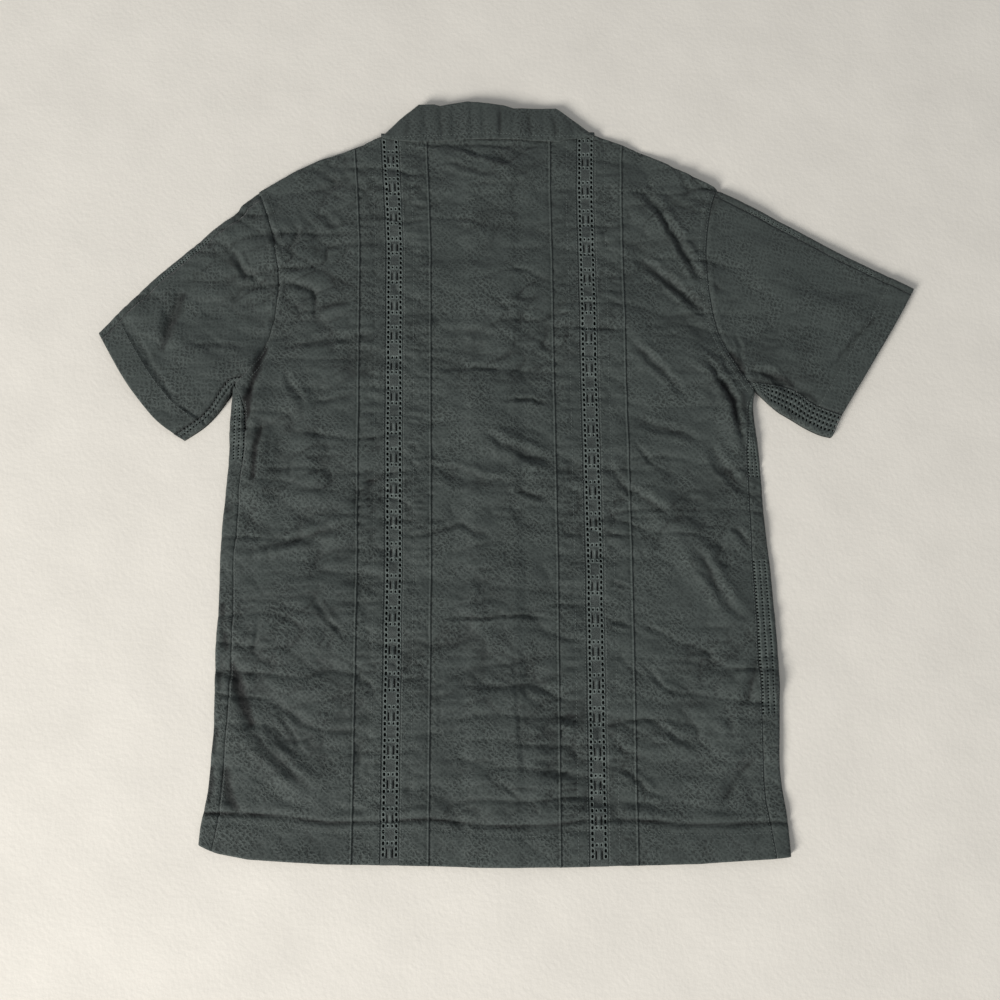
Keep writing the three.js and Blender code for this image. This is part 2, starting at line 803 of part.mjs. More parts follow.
// The collar: stand and fall at the back, rolled at the top, folded round both sides to the front.
function buildCollar(layers) {
  const top = collarTop();
  const roll = top.filter((p, i) => Math.abs(COLLAR_EDGES[i].c) <= ROLL_CORNER_C + 1);
  const stand = [...backNeckline(), ...reversed(roll)];
  return joined([
    layers.fall.intersect(cutter(between(top, collarLeafEdge()))),
    layers.stand.intersect(cutter(stand)),
    layers.roll.intersect(cutter(between(roll, beside(roll, -(WALL + SEAM_GAP))))),
    ...buildCollarFront(-1, layers),
    ...buildCollarFront(1, layers),
  ]);
}

// A button lies on the floor under the left front: a disc with a raised rim on its lower face.
function buttonGeometry() {
  const inner = BUTTON_RADIUS - BUTTON_RIM;
  const profile = [
    new THREE.Vector2(0, BUTTON_DISH),
    new THREE.Vector2(inner - BUTTON_DISH, BUTTON_DISH),
    new THREE.Vector2(inner, 0),
    new THREE.Vector2(BUTTON_RADIUS - BUTTON_DISH, 0),
    new THREE.Vector2(BUTTON_RADIUS, BUTTON_DISH),
    new THREE.Vector2(BUTTON_RADIUS, BUTTON_HEIGHT - BUTTON_DISH),
    new THREE.Vector2(BUTTON_RADIUS - BUTTON_DISH, BUTTON_HEIGHT),
    new THREE.Vector2(0, BUTTON_HEIGHT),
  ];
  return new THREE.LatheGeometry(profile, BUTTON_SIDES).rotateX(Math.PI / 2);
}

function toMesh(name, solid, material) {
  const mesh = solid.getMesh();
  const geometry = new THREE.BufferGeometry();
  geometry.setAttribute("position", new THREE.BufferAttribute(mesh.vertProperties, 3));
  geometry.setIndex(new THREE.BufferAttribute(mesh.triVerts, 1));
  const node = new THREE.Mesh(geometry, material);
  node.name = name;
  return node;
}

const layers = {
  frontLeft: layer(frontBottom, raised(frontBottom), mirroredColumns(FRONT_COLUMNS)),
  frontRight: layer(rightFrontBottom, raised(rightFrontBottom), mirroredColumns(FRONT_COLUMNS)),
  top: layer(backBottom, backTop),
  full: layer(frontBottom, backTop),
  room: layer(raised(frontBottom), backTop),
  stand: layer(backBottom, raised(backBottom)),
  roll: layer(backBottom, raised(fallBottom)),
  fall: layer(fallBottom, raised(fallBottom)),
  leaf: layer(floorLevel, raised(floorLevel)),
  frontRoll: layer(floorLevel, raised(frontBottom)),
  collarSide: layer(floorLevel, raised(fallBottom)),
};
const sleeveLeft = buildSleeve(-1, layers);
const sleeveRight = buildSleeve(1, layers);
const clothPieces = {
  ...buildBack(layers.top),
  front_left: buildFront(-1, layers),
  front_right: buildFront(1, layers),
  sleeve_left_back: sleeveLeft.back,
  sleeve_left_front: sleeveLeft.front,
  sleeve_right_back: sleeveRight.back,
  sleeve_right_front: sleeveRight.front,
  collar: buildCollar(layers),
};

const clothMaterial = new THREE.MeshStandardMaterial({ color: 0x3d4441, roughness: 0.85, metalness: 0 });
const buttonMaterial = new THREE.MeshStandardMaterial({ color: 0x2b2f2e, roughness: 0.35, metalness: 0 });

const group = new THREE.Group();
for (const [name, solid] of Object.entries(clothPieces)) {
  group.add(toMesh(name, solid, clothMaterial));
}
for (let i = 0; i < BUTTON_COUNT; i += 1) {
  const button = new THREE.Mesh(buttonGeometry(), buttonMaterial);
  button.name = `button_${i + 1}`;
  button.position.set(clothX(0, buttonY(i)), buttonY(i), 0);
  group.add(button);
}

export default group;
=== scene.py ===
"""Cabana shirt laid flat with its back up: short sleeves, open collar, two openwork bands in the back.

Shapes are worked out in millimetres in the shirt's own frame: the hem toward -Y, the collar toward +Y,
the floor at z = 0. c is a point's distance from the shirt's middle line, which leans a little.
"""

import math

import bmesh
import bpy
import numpy as np
from mathutils import Matrix, Vector


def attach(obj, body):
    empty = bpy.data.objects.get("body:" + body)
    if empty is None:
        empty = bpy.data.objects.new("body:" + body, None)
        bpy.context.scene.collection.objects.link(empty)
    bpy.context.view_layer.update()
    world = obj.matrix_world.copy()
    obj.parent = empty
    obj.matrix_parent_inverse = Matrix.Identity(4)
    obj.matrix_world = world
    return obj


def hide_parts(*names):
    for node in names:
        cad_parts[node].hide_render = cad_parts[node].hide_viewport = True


bl_info = {
    "name": "Cabana Shirt",
    "version": (1, 0, 0),
    "blender": (4, 5, 0),
    "location": "3D View > Sidebar > Shirt",
    "description": "Builds a cabana shirt laid flat, piece by piece, and the stage under it",
    "category": "Object",
}

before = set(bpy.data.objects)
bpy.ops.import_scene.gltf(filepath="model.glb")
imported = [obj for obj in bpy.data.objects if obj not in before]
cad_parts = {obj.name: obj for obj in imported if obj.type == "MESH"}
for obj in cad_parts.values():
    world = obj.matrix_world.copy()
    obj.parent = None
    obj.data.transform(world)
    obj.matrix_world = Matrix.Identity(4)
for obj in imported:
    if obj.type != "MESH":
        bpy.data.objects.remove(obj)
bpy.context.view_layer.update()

MM = 0.001
SIDE_NAME = {-1: "left", 1: "right"}

# Flat size that each piece is cut from, with its seam allowance; the sleeves' are measured as they are built
FLAT_SIZE = {"back_centre": (188.5, 745), "back_side": (175, 740), "front": (325, 760), "collar": (460, 100)}
LACE_ALLOWANCE = 2
LACE_SOLID_SHARE = 0.85
SLEEVE_BACK_ALLOWANCE = 20
SLEEVE_FRONT_ALLOWANCE = 30

# Layers, from the floor up
LEVEL = 1.5
LAP_HALF_WIDTH = 17
LAP_LEVEL_HALF = 18.5
LAP_RAMP_END = 32
COLLAR_LIFT_HALF = 137.1
COLLAR_LIFT_FADE = 22
COLLAR_LIFT_Y = 200

# Buttons
BUTTON_Y = (250, 150, 50, -50, -150, -250)
BUTTON_RADIUS = 5.75
BUTTON_HEIGHT = 2.2
BUTTON_LIFT = 2.5
BUTTON_FLAT = 9
BUTTON_FADE = 27
BUTTON_FADE_ABOVE = 60

# Lace bands and the tucks beside them
BAND_C = 99
BAND_HALF = 8.75
TUCK_OFFSET = 36.5
TUCKS = (-BAND_C - TUCK_OFFSET, -BAND_C + TUCK_OFFSET, BAND_C - TUCK_OFFSET, BAND_C + TUCK_OFFSET)
TUCK_STEPS = (-2.2, -1.5, -0.9, -0.4, 0, 0.4, 0.9, 1.5, 2.2)
PUCKER_OFFSET = 24
FAINT_OFFSET = 19.5

# Neck
FRONT_NECK_Y = 274
NECK_HALF_WIDTH = 94
NECK_SIDE_Y = 356
NECK_BACK_Y = 348
COLLAR_TILT = 0.018
COLLAR_END_C = 3
ROLL_CORNER_C = 72

ARMPIT_LIFT = 0.7
ARMPIT_REACH = (34, 22)
SLEEVE_WRAP = 8
SHOULDER_WRAP = 3
CUFF_DEPTH = 26
RIGHT_SLEEVE_FROM_X = (212, 236)
RIGHT_SLEEVE_FROM_Y = (62, 96)

MIDDLE_LINE = {
    "y": (-400, -100, 100, 210, 320, 400),
    "x": (-12.5, -13, -15.5, -16.5, -19.5, -21),
}

# The back's long seams stand a little further apart toward the shoulders
SEAM_SPREAD = {"y": (230, 290, 350), "share": (1.0, 1.012, 1.04)}

# Folded edge of the body and the side seam that lies on top, left and right
BODY_SIDES = {
    "y": (-370, -350, -328, -295, -250, -195, -140, -100, -60, -20, 5, 40, 62),
    "edge_left": (-293, -292, -287, -285, -283, -285, -283, -284, -283, -280, -279, -280, -278),
    "seam_left": (-280, -275, -273, -272, -270, -268, -268, -270, -267, -267, -263, -263, -265),
    "seam_right": (254, 250, 246, 245, 245, 244, 243, 242, 241, 242, 240, 242, 244),
    "edge_right": (268, 267, 264, 260, 263, 264, 261, 259, 255, 254, 253, 249, 248),
}

HEM_LINE = {
    "x": (-300, -290, -273, -245, -170, -20, 60, 182, 254, 275),
    "y": (-362, -371, -377, -382, -386, -389, -389, -386, -381, -378),
}

# Crease where the turned hem starts, and its line of stitches
HEM_CREASE = {
    "x": (-290, -273, -245, -215, -171, -110, -74, -33, 8, 48, 74, 123, 166, 210, 258, 275),
    "y": (-340, -340, -341, -343, -349, -347, -345, -350, -352, -350, -346, -346, -350, -350, -348, -352),
}
HEM_STITCH_DROP = 9
HEM_FADE_IN = (-352, -358)
HEM_FADE_OUT = (-388, -380)

# Where a line along the body is taken to meet the hem and the shoulders, when its place on them is looked up
HEM_Y = -385
TOP_Y = 345
BACK_LENGTH = 737

SHOULDER = {
    -1: ((-132, 346), (-160, 333), (-192, 324), (-223, 309), (-259, 286)),
    1: ((92, 350), (140, 331), (172, 315), (219, 288)),
}
SLEEVE_TOP = {
    -1: (
        (-259, 286), (-276, 273), (-282, 261), (-299, 249), (-329, 222),
        (-359, 196), (-388, 165), (-417, 134),
    ),
    1: ((219, 288), (249, 273), (310, 239), (341, 220), (371, 205), (418, 181)),
}
CUFF = {
    -1: ((-417, 134), (-400, 104), (-384, 79), (-367, 57), (-351, 39), (-325, 22)),
    1: ((418, 181), (400, 149), (374, 107), (348, 66), (335, 45), (326, 25)),
}
SLEEVE_LOW = {
    -1: ((-325, 22), (-305, 35), (-291, 51), (-280, 68), (-277, 79)),
    1: ((326, 25), (316, 27), (301, 34), (286, 44), (271, 53), (257, 67), (251, 73)),
}
ARMHOLE = {
    -1: (
        (-259, 286), (-250, 265), (-242, 239), (-235, 205), (-234, 173),
        (-239, 139), (-252, 107), (-268, 87), (-277, 79),
    ),
    1: (
        (219, 288), (211, 265), (206, 232), (205, 199), (210, 157),
        (220, 122), (235, 98), (245, 82), (251, 73),
    ),
}
UNDERARM_SEAM = {
    -1: ((-335, 28), (-312, 43), (-299, 57), (-289, 74), (-282, 85), (-268, 87)),
    1: ((337, 48), (322, 53), (307, 60), (293, 74), (278, 79), (261, 81), (245, 82)),
}

# Stretches where the openwork of the front shows in the folded strips: y along the body's sides,
# x along the sleeves' upper edges
OPENWORK_Y = {-1: ((3, 68),), 1: ((-16, 66), (-250, -98))}
OPENWORK_SLEEVE_TOP = {-1: ((-358, -306),), 1: ((252, 304), (356, 376))}

# Collar: rolled top edge and lower edge of the fall, by distance from the middle line
COLLAR_ROLL = {
    "c": (-112, -92, -72, -56, -50, -35, -21, -9, 8, 17, 28, 41, 73, 92, 112),
    "y": (346, 366.5, 383, 383.6, 381.9, 384.2, 386.3, 385, 382.2, 381, 377, 377.3, 377.4, 362.5, 346),
}
COLLAR_LEAF = {
    "c": (-112, -94, -77, -50, -35, -20, 12, 55, 75, 82, 95, 103, 112),
    "y": (345, 342.2, 340.2, 341.1, 342, 342.9, 342.3, 340.7, 339.1, 342.1, 343, 343, 345),
}
FRONT_ROLL = {"c": (72, 76, 66, 50, 28, 3), "y": (386, 350, 319, 301, 288, 283)}
FRONT_LEAF = {"c": (112, 113, 98, 80, 40, 3), "y": (348, 300, 255, 226, 250, 270)}


def table(columns, *rows):
    """Rows of sizes under named columns."""
    return [dict(zip(columns.split(), row)) for row in rows]


# Large soft folds of the back and sleeves, as on the photographed shirt
FOLDS = table(
    "height width path",
    (2.6, 15, ((-262, 95), (-246, -30))),
    (1.8, 15, ((-268, -96), (-154, -60))),
    (2.4, 16, ((-258, -262), (-185, -322))),
    (1.5, 15, ((-215, 60), (-190, -25))),
    (1.6, 14, ((-64, 325), (20, 298))),
    (1.4, 14, ((-75, -140), (50, -147))),
    (1.5, 14, ((-30, 45), (44, -24))),
    (1.3, 14, ((25, -231), (32, -330))),
    (2.0, 16, ((120, 290), (200, 190))),
    (1.6, 15, ((122, 150), (172, 92))),
    (2.6, 16, ((188, 118), (235, 25))),
    (2.4, 17, ((146, -30), (226, -146))),
    (2.6, 17, ((190, -325), (248, -215))),
    (1.8, 16, ((-380, 150), (-300, 100))),
    (1.8, 16, ((270, 190), (352, 150))),
)

# Narrower creases: a negative height is a trough with a low ridge along each side
CREASES = table(
    "height width path",
    (-2.2, 5, ((134, 285), (148, 278), (157, 266), (174, 238), (193, 199), (204, 180))),
    (-2.4, 5, ((130, 217), (155, 199), (178, 177), (206, 153))),
    (-1.7, 4.5, ((122, 129), (142, 109), (164, 88), (181, 67))),
    (-2.4, 4.5, ((191, 109), (205, 100), (218, 82), (229, 64), (234, 35), (238, 1))),
    (-1.6, 5, ((123, 47), (152, 35), (174, 30), (196, 21))),
    (-2.0, 6, ((202, 18), (218, -8), (237, -28))),
    (-1.1, 2.5, ((126, 21), (142, 1), (151, -8), (167, -14))),
    (-1.8, 6, ((10, 9), (29, 4), (46, 1))),
    (-1.1, 2.6, ((-7, 64), (21, 63), (47, 59))),
    (-0.9, 3, ((234, 135), (239, 114), (236, 97))),
    (-1.8, 4, ((241, 91), (267, 94), (278, 76), (292, 70))),
    (-1.7, 3.4, ((325, 95), (338, 109), (350, 124), (363, 137), (376, 149), (388, 164))),
    (-1.7, 5, ((99, -3), (115, -25), (133, -35), (154, -49), (170, -62))),
    (-0.8, 2.5, ((129, -87), (142, -101))),
    (-1.0, 2.5, ((98, -73), (122, -76))),
    (-2.2, 6.5, ((172, -79), (188, -92), (197, -108), (208, -129), (220, -147), (236, -161))),
    (-1.7, 6, ((204, 3), (220, -14), (238, -27))),
    (-1.2, 4, ((223, -62), (234, -76), (238, -87))),
    (-1.1, 2.5, ((96, -118), (121, -126))),
    (-1.2, 2.5, ((95, -155), (121, -163))),
    (-1.2, 3.5, ((127, -161), (149, -168), (164, -179))),
    (-1.3, 3, ((126, -194), (140, -207), (150, -223), (171, -230), (202, -228))),
    (-0.9, 2.5, ((148, -196), (169, -198), (208, -199))),
    (-1.5, 4, ((126, -248), (149, -261), (164, -271), (185, -276))),
    (-1.5, 3, ((102, -294), (122, -306), (135, -321), (153, -326))),
    (-2.0, 6, ((243, -189), (233, -230), (225, -243))),
    (-1.1, 5, ((212, -246), (216, -273))),
    (-2.2, 7, ((239, -284), (220, -306), (203, -331))),
    (-1.8, 5, ((-270, -89), (-245, -87), (-220, -82), (-197, -75), (-177, -70), (-144, -61))),
    (-1.6, 3.5, ((-99, -75), (-73, -71), (-58, -65), (-37, -61))),
    (-1.2, 4, ((-50, -61), (-32, -71), (-12, -77))),
    (-1.7, 7, ((-68, -10), (-37, -20), (-7, -26))),
    (-1.3, 3, ((-100, -3), (-76, -4), (-48, -6))),
    (-1.7, 6, ((-25, 32), (-7, 19), (14, 6), (47, 3))),
    (-1.4, 3, ((6, -25), (24, -34), (44, -36))),
    (-1.9, 2.4, ((-69, -155), (-32, -155), (16, -152), (48, -158))),
    (-1.2, 3, ((-193, -132), (-182, -150), (-164, -167), (-157, -177))),
    (-1.4, 5, ((-201, 61), (-175, 65), (-147, 73))),
    (-1.0, 3, ((-102, 19), (-86, 9))),
    (-1.1, 3, ((-242, -155), (-246, -187))),
    (-1.0, 2.5, ((-268, -145), (-243, -146))),
    (-1.0, 3, ((-13, 160), (16, 161))),
    (-1.3, 5, ((-73, 137), (-31, 134), (0, 126))),
    (-1.1, 2.5, ((0, 63), (21, 62), (47, 62))),
    (-1.3, 5, ((-23, 32), (-5, 17), (20, 11), (36, 1))),
    (-1.3, 4, ((-92, -7), (-46, -7), (-23, -20), (20, -22))),
    (-1.0, 3, ((-73, 95), (-31, 98), (0, 94))),
    (-1.6, 4, ((-290, 226), (-277, 211), (-271, 196), (-247, 184))),
    (-1.3, 3.5, ((-250, 248), (-240, 236), (-233, 220))),
    (-1.2, 4, ((-203, 263), (-185, 257), (-173, 242))),
    (-1.6, 5, ((-229, 148), (-192, 160), (-151, 172))),
    (-1.9, 4.5, ((-234, 118), (-199, 124), (-122, 134))),
    (-1.8, 6, ((-334, 182), (-345, 157), (-349, 121))),
    (-0.8, 3, ((-390, 151), (-371, 115), (-346, 79), (-322, 53))),
    (-1.2, 3.5, ((-328, 122), (-297, 121), (-257, 119))),
    (-1.3, 4, ((-227, 94), (-212, 68), (-203, 53))),
    (-0.8, 2.6, ((-214, 12), (-217, -20))),
    (-1.1, 3, ((-104, 310), (-87, 320), (-75, 335))),
    (-1.2, 4, ((-225, 220), (-217, 245), (-223, 254))),
    (1.6, 3.5, ((-64, 333), (-32, 321), (-2, 311), (19, 310))),
    (-1.3, 4, ((-70, 322), (-36, 308), (0, 300))),
    (-1.4, 2.4, ((-108, 339), (-66, 337.5), (-20, 335.8), (35, 335.8), (62, 336.5))),
    (-1.5, 5, ((-261, -206), (-260, -240))),
    (-1.9, 6, ((-251, -259), (-225, -287), (-187, -319))),
    (-0.9, 3, ((-222, -245), (-190, -290))),
    (-0.7, 2.6, ((5, -172), (6, -198), (9, -228), (12, -272), (16, -315))),
    (-0.7, 2.6, ((-45, -221), (2, -220))),
    (-0.9, 2.6, ((-62, -291), (4, -291))),
    (-1.1, 2.6, ((24, -291), (43, -291))),
    (-0.5, 2.6, ((-65, -200), (-65, -283))),
    (-0.9, 3, ((-17, -303), (12, -324))),
    (-0.9, 2.6, ((-238, -146), (-212, -146))),
    (-0.9, 2.6, ((-195, -190), (-166, -190))),
)

# Places where the cloth dips steeply and lies in its own shadow
DARK_DIPS = table(
    "depth width path",
    (1.6, 4.5, ((-279, -141), (-279, -152))),
    (1.8, 4.5, ((-275, -170), (-274, -186))),
    (1.3, 3.5, ((-280, -204), (-278, -222))),
    (2.2, 7, ((-267, -202), (-257, -232), (-247, -256))),
    (1.5, 3.5, ((-282, -262), (-281, -282))),
    (1.6, 4, ((-283, -298), (-284, -328))),
    (1.8, 5, ((-270, -300), (-266, -325), (-258, -337))),
    (3.0, 5, ((-247, 117), (-254, 92), (-259, 74))),
    (2.8, 4.2, ((-258, 80), (-262, 58), (-263, 34))),
    (2.2, 4, ((-248, 36), (-252, 12), (-254, -16))),
    (1.6, 7, ((-332, 172), (-352, 118))),
    (2.0, 5, ((228, 112), (240, 92))),
    (1.4, 4, ((236, 66), (243, 40))),
    (1.8, 5, ((262, 90), (274, 86), (290, 79))),
    (1.5, 4, ((299, 71), (313, 62))),
    (1.3, 4, ((157, 262), (176, 232), (194, 197))),
    (1.3, 4.5, ((140, 210), (172, 182), (200, 158))),
    (2.2, 4, ((218, 80), (228, 62), (232, 42))),
    (1.2, 4, ((244, -196), (250, -232))),
)

# Uneven crumple of washed cotton: size across and along the cloth, turn in degrees, height. The first
# is a broad wave, and the next ones are strong enough to hold shadow in their grooves.
BUMP_COLUMNS = "across along turn height seed sharp"
CRUMPLE = table(
    BUMP_COLUMNS,
    (120, 38, 5, 2.2, 11, False),
    (80, 26, -3, 2.0, 23, True),
    (56, 20, 30, 1.0, 38, True),
    (48, 17, -28, 0.9, 43, True),
    (34, 8.5, 3, 0.8, 59, True),
    (10, 6.5, -18, 0.35, 67, False),
)

# Puckers between each band and its tucks, puckers of the turned hem, and how unevenly the crumple is spread
PUCKER, HEM_PUCKER, PATCHINESS = table(
    BUMP_COLUMNS,
    (30, 7, 0, 1.7, 71, True),
    (30, 8, -52, 0.8, 97, True),
    (60, 50, 20, 0.6, 83, False),
)

NOISE_CELLS = 64
GROOVE_WIDTH = 0.11
GROOVE_SHADE = 0.48
CREASE_STRENGTH = 1.35
FOLD_STRENGTH = 1.5
RIDGE_SHARE = 0.38
HIDDEN_WAVE = 0.45

CLOTH_UV = "cloth"
MERGE_DISTANCE = 0.02


# Lines and patches


def soft_step(start, end, value):
    """Soft step from 0 to 1 as value goes from start to end."""
    t = np.clip((value - start) / (end - start), 0, 1)
    return t * t * (3 - 2 * t)


def middle_x(y):
    return np.interp(y, MIDDLE_LINE["y"], MIDDLE_LINE["x"])


def hem_y(x):
    return np.interp(x, HEM_LINE["x"], HEM_LINE["y"])


def hem_crease_y(x):
    return np.interp(x, HEM_CREASE["x"], HEM_CREASE["y"])


def bell(value, width):
    """1 where value is 0, falling softly to almost nothing at twice the width."""
    return np.exp(-((value / width) ** 2))


def line_at(c, y):
    """Points at distance c from the middle line."""
    c, y = np.broadcast_arrays(np.asarray(c, float), np.asarray(y, float))
    return np.stack([middle_x(y) + c, y], -1)


def spread_at(y):
    return np.interp(y, SEAM_SPREAD["y"], SEAM_SPREAD["share"])


def seam_at(c, y):
    """Points on the long seam that lies at distance c from the middle line."""
    return line_at(c * spread_at(np.asarray(y, float)), y)


def cloth_c(x, y):
    """Which long seam a point lies on: its distance from the middle line on the unspread cloth."""
    return (x - middle_x(y)) / spread_at(y)


def off_band(c, offset):
    """Distance to the nearest of the lines that run on both sides of each band, offset from its middle."""
    return np.abs(np.abs(np.abs(c) - BAND_C) - offset)


def rounded(points, turns=3):
    """The line with its corners cut off a few times, so that it bends softly. Its ends stay."""
    line = np.array(points, float)
    for _ in range(turns):
        near = line[:-1] * 0.75 + line[1:] * 0.25
        far = line[:-1] * 0.25 + line[1:] * 0.75
        middle = np.stack([near, far], 1).reshape(-1, line.shape[1])[1:-1]
        line = np.concatenate([line[:1], middle, line[-1:]])
    return line


def spaced(line, stops):
    """Points along a line at shares of its length; a whole number gives that many even steps."""
    line = np.asarray(line, float)
    shares = np.linspace(0, 1, stops + 1) if isinstance(stops, int) else np.asarray(stops, float)
    steps = np.linalg.norm(np.diff(line, axis=0), axis=1)
    along = np.concatenate([[0], np.cumsum(steps)])
    return np.stack([np.interp(shares * along[-1], along, line[:, k]) for k in range(line.shape[1])], -1)


def length_of(line):
    return float(np.linalg.norm(np.diff(np.asarray(line, float), axis=0), axis=1).sum())


def beside(line, distance):
    """The line moved sideways; a positive distance moves it to the left of its direction."""
    line = np.asarray(line, float)
    direction = np.gradient(line, axis=0)
    direction /= np.linalg.norm(direction, axis=1, keepdims=True)
    return line + distance * np.stack([-direction[:, 1], direction[:, 0]], -1)


def patch(low, high, left, right):
    """Grid of points inside four lines; low and high run left to right, left and right upward."""
    u = np.linspace(0, 1, len(low))[None, :, None]
    v = np.linspace(0, 1, len(left))[:, None, None]
    between_sides = (1 - u) * left[:, None] + u * right[:, None]
    between_ends = (1 - v) * low[None] + v * high[None]
    low_corners = (1 - u) * low[0] + u * low[-1]
    high_corners = (1 - u) * high[0] + u * high[-1]
    return between_sides + between_ends - (1 - v) * low_corners - v * high_corners


def near_line(line, x, y):
    """Distance of points to a line of straight pieces, and the share of its length where it is nearest."""
    line = np.asarray(line, float)
    nearest = np.full(np.shape(x), 1e9)
    place = np.zeros(np.shape(x))
    passed = 0.0
    total = length_of(line)
    for start, end in zip(line[:-1], line[1:]):
        way = end - start
        length = float(np.hypot(*way))
        t = np.clip(((x - start[0]) * way[0] + (y - start[1]) * way[1]) / length**2, 0, 1)
        distance = np.hypot(x - start[0] - t * way[0], y - start[1] - t * way[1])
        closer = distance < nearest
        nearest = np.where(closer, distance, nearest)
        place = np.where(closer, (passed + t * length) / total, place)
        passed += length
    return nearest, place


def distance_to(line, x, y):
    return near_line(line, x, y)[0]


def tapered(place):
    """1 along the middle of a line, falling softly toward both its ends."""
    return soft_step(-0.08, 0.32, place) * soft_step(1.08, 0.68, place)


# Heights


def noise(x, y, seed):
    """Smooth uneven bumps about one unit apart, from -1 to 1."""
    cells = np.random.default_rng(seed).uniform(-1, 1, (NOISE_CELLS, NOISE_CELLS))
    i = np.floor(x).astype(int)
    j = np.floor(y).astype(int)
    u = soft_step(0, 1, x - i)
    v = soft_step(0, 1, y - j)
    left, right = i % NOISE_CELLS, (i + 1) % NOISE_CELLS
    low, high = j % NOISE_CELLS, (j + 1) % NOISE_CELLS
    near = cells[left, low] * (1 - u) + cells[right, low] * u
    far = cells[left, high] * (1 - u) + cells[right, high] * u
    return near * (1 - v) + far * v


def raw_bumps(x, y, kind):
    """Uneven bumps of one kind of crumple, from about -1 to 1."""
    turn = math.radians(kind["turn"])
    along_x = (x * math.cos(turn) + y * math.sin(turn)) / kind["across"]
    along_y = (y * math.cos(turn) - x * math.sin(turn)) / kind["along"]
    fine = noise(2.1 * along_x, 2.1 * along_y, kind["seed"] + 1)
    return noise(along_x, along_y, kind["seed"]) + 0.35 * fine


def grooves(x, y, kind):
    """1 in the narrow grooves of one kind of crumple, 0 away from them."""
    return np.exp(-np.abs(raw_bumps(x, y, kind)) / GROOVE_WIDTH)


def crumple(x, y, kind):
    """Height of one kind of crumple; a sharp one has narrow grooves between soft bumps."""
    bumps = raw_bumps(x, y, kind)
    if kind["sharp"]:
        bumps = 0.65 * np.abs(bumps) - 0.8 * np.exp(-np.abs(bumps) / GROOVE_WIDTH)
    return kind["height"] * bumps


def wandered(x, y):
    """Points moved a little, so that creases drawn as smooth lines run unevenly."""
    across = 1.7 * noise(x / 8, y / 8, 51) + 0.8 * noise(x / 3.5, y / 3.5, 52)
    along = 1.7 * noise(x / 8, y / 8, 53) + 0.8 * noise(x / 3.5, y / 3.5, 54)
    return x + across, y + along


def groove_shadow(x, y):
    """Shadow in the grooves of the crumple, and of the puckers at the hem and beside the tucks."""
    patchy = np.clip(0.55 + raw_bumps(x, y, PATCHINESS), 0.15, 1.3)
    calm = calm_near_edges(x, y)
    shadow = np.zeros(np.shape(x))
    for kind in CRUMPLE[1:5]:
        shadow = np.maximum(shadow, GROOVE_SHADE * calm * patchy * grooves(x, y, kind) ** 2)
    shadow = np.maximum(shadow, 0.4 * soft_step(*HEM_FADE_IN, y) * grooves(x, y, HEM_PUCKER) ** 2)
    puckers = bell(off_band(cloth_c(x, y), PUCKER_OFFSET), 12) * grooves(x, y, PUCKER) ** 2
    return np.maximum(shadow, 0.85 * patchy * puckers)


def crease_shadow(x, y, broken):
    """Shadow in the creases and the dips that are drawn as lines."""
    shadow = np.zeros(np.shape(x))
    x, y = wandered(x, y)
    for crease in CREASES:
        if crease["height"] < 0:
            distance, place = near_line(rounded(crease["path"], 2), x, y)
            ratio = distance / (0.7 + 0.28 * crease["width"])
            strength = min(0.75, -0.42 * crease["height"]) * broken * tapered(place)
            shadow = np.maximum(shadow, strength * np.exp(-(ratio**1.7)))
    for dip in DARK_DIPS:
        distance, place = near_line(rounded(dip["path"], 2), x, y)
        ratio = distance / (dip["width"] * (0.5 + 0.4 * tapered(place)))
        shadow = np.maximum(shadow, min(1.0, 0.42 * dip["depth"]) * np.exp(-(ratio**3)))
    return shadow


def seam_shadow(x, y, broken):
    """Shadow along the turned hem, the cuffs and the sleeves' seams."""
    shadow = bell(y - hem_crease_y(x), 1.5) * np.clip(0.75 + 0.5 * noise(x / 16, x * 0, 31), 0.15, 1)
    for side in (-1, 1):
        cuff, top_seam, low_seam = sleeve_distances(side, x, y)
        shadow = np.maximum(shadow, 0.3 * broken * bell(cuff - CUFF_DEPTH, 1.3))
        shadow = np.maximum(shadow, 0.5 * broken * bell(top_seam, 1.3))
        shadow = np.maximum(shadow, 0.6 * bell(low_seam, 1.5))
    return shadow


def hidden_light(x, y):
    """How much a point lies in the shadow of its crease: 0 on open cloth, up to 1 in deep creases."""
    broken = np.clip(0.7 + 0.5 * noise(x / 9, y / 9, 29), 0.2, 1)
    drawn = np.maximum(crease_shadow(x, y, broken), seam_shadow(x, y, broken))
    return np.maximum(groove_shadow(x, y), drawn)


def front_lift(c, y, fade=BUTTON_FADE):
    """Lift of the fronts over the collar's front leaves and over the buttons."""
    lift = LEVEL * (1 - soft_step(COLLAR_LIFT_HALF, COLLAR_LIFT_HALF + COLLAR_LIFT_FADE, np.abs(c)))
    lift = lift * soft_step(COLLAR_LIFT_Y - COLLAR_LIFT_FADE, COLLAR_LIFT_Y, y)
    across = 1 - soft_step(BUTTON_FLAT, BUTTON_FLAT + fade, np.abs(c))
    for button_y in BUTTON_Y:
        along = 1 - soft_step(BUTTON_FLAT, BUTTON_FLAT + fade, np.abs(y - button_y))
        lift = np.maximum(lift, BUTTON_LIFT * across * along)
    return lift


def lap_lift(distance, y):
    """Lift where the right front laps over the left one."""
    across = 1 - soft_step(LAP_LEVEL_HALF, LAP_RAMP_END, distance)
    return LEVEL * across * (1 - soft_step(FRONT_NECK_Y + 12, FRONT_NECK_Y + 38, y))


def fold_lift(x, y):
    """Height of the soft folds along their lines."""
    lift = np.zeros(np.shape(x))
    for fold in FOLDS:
        lift += fold["height"] * bell(distance_to(fold["path"], x, y), fold["width"])
    return lift


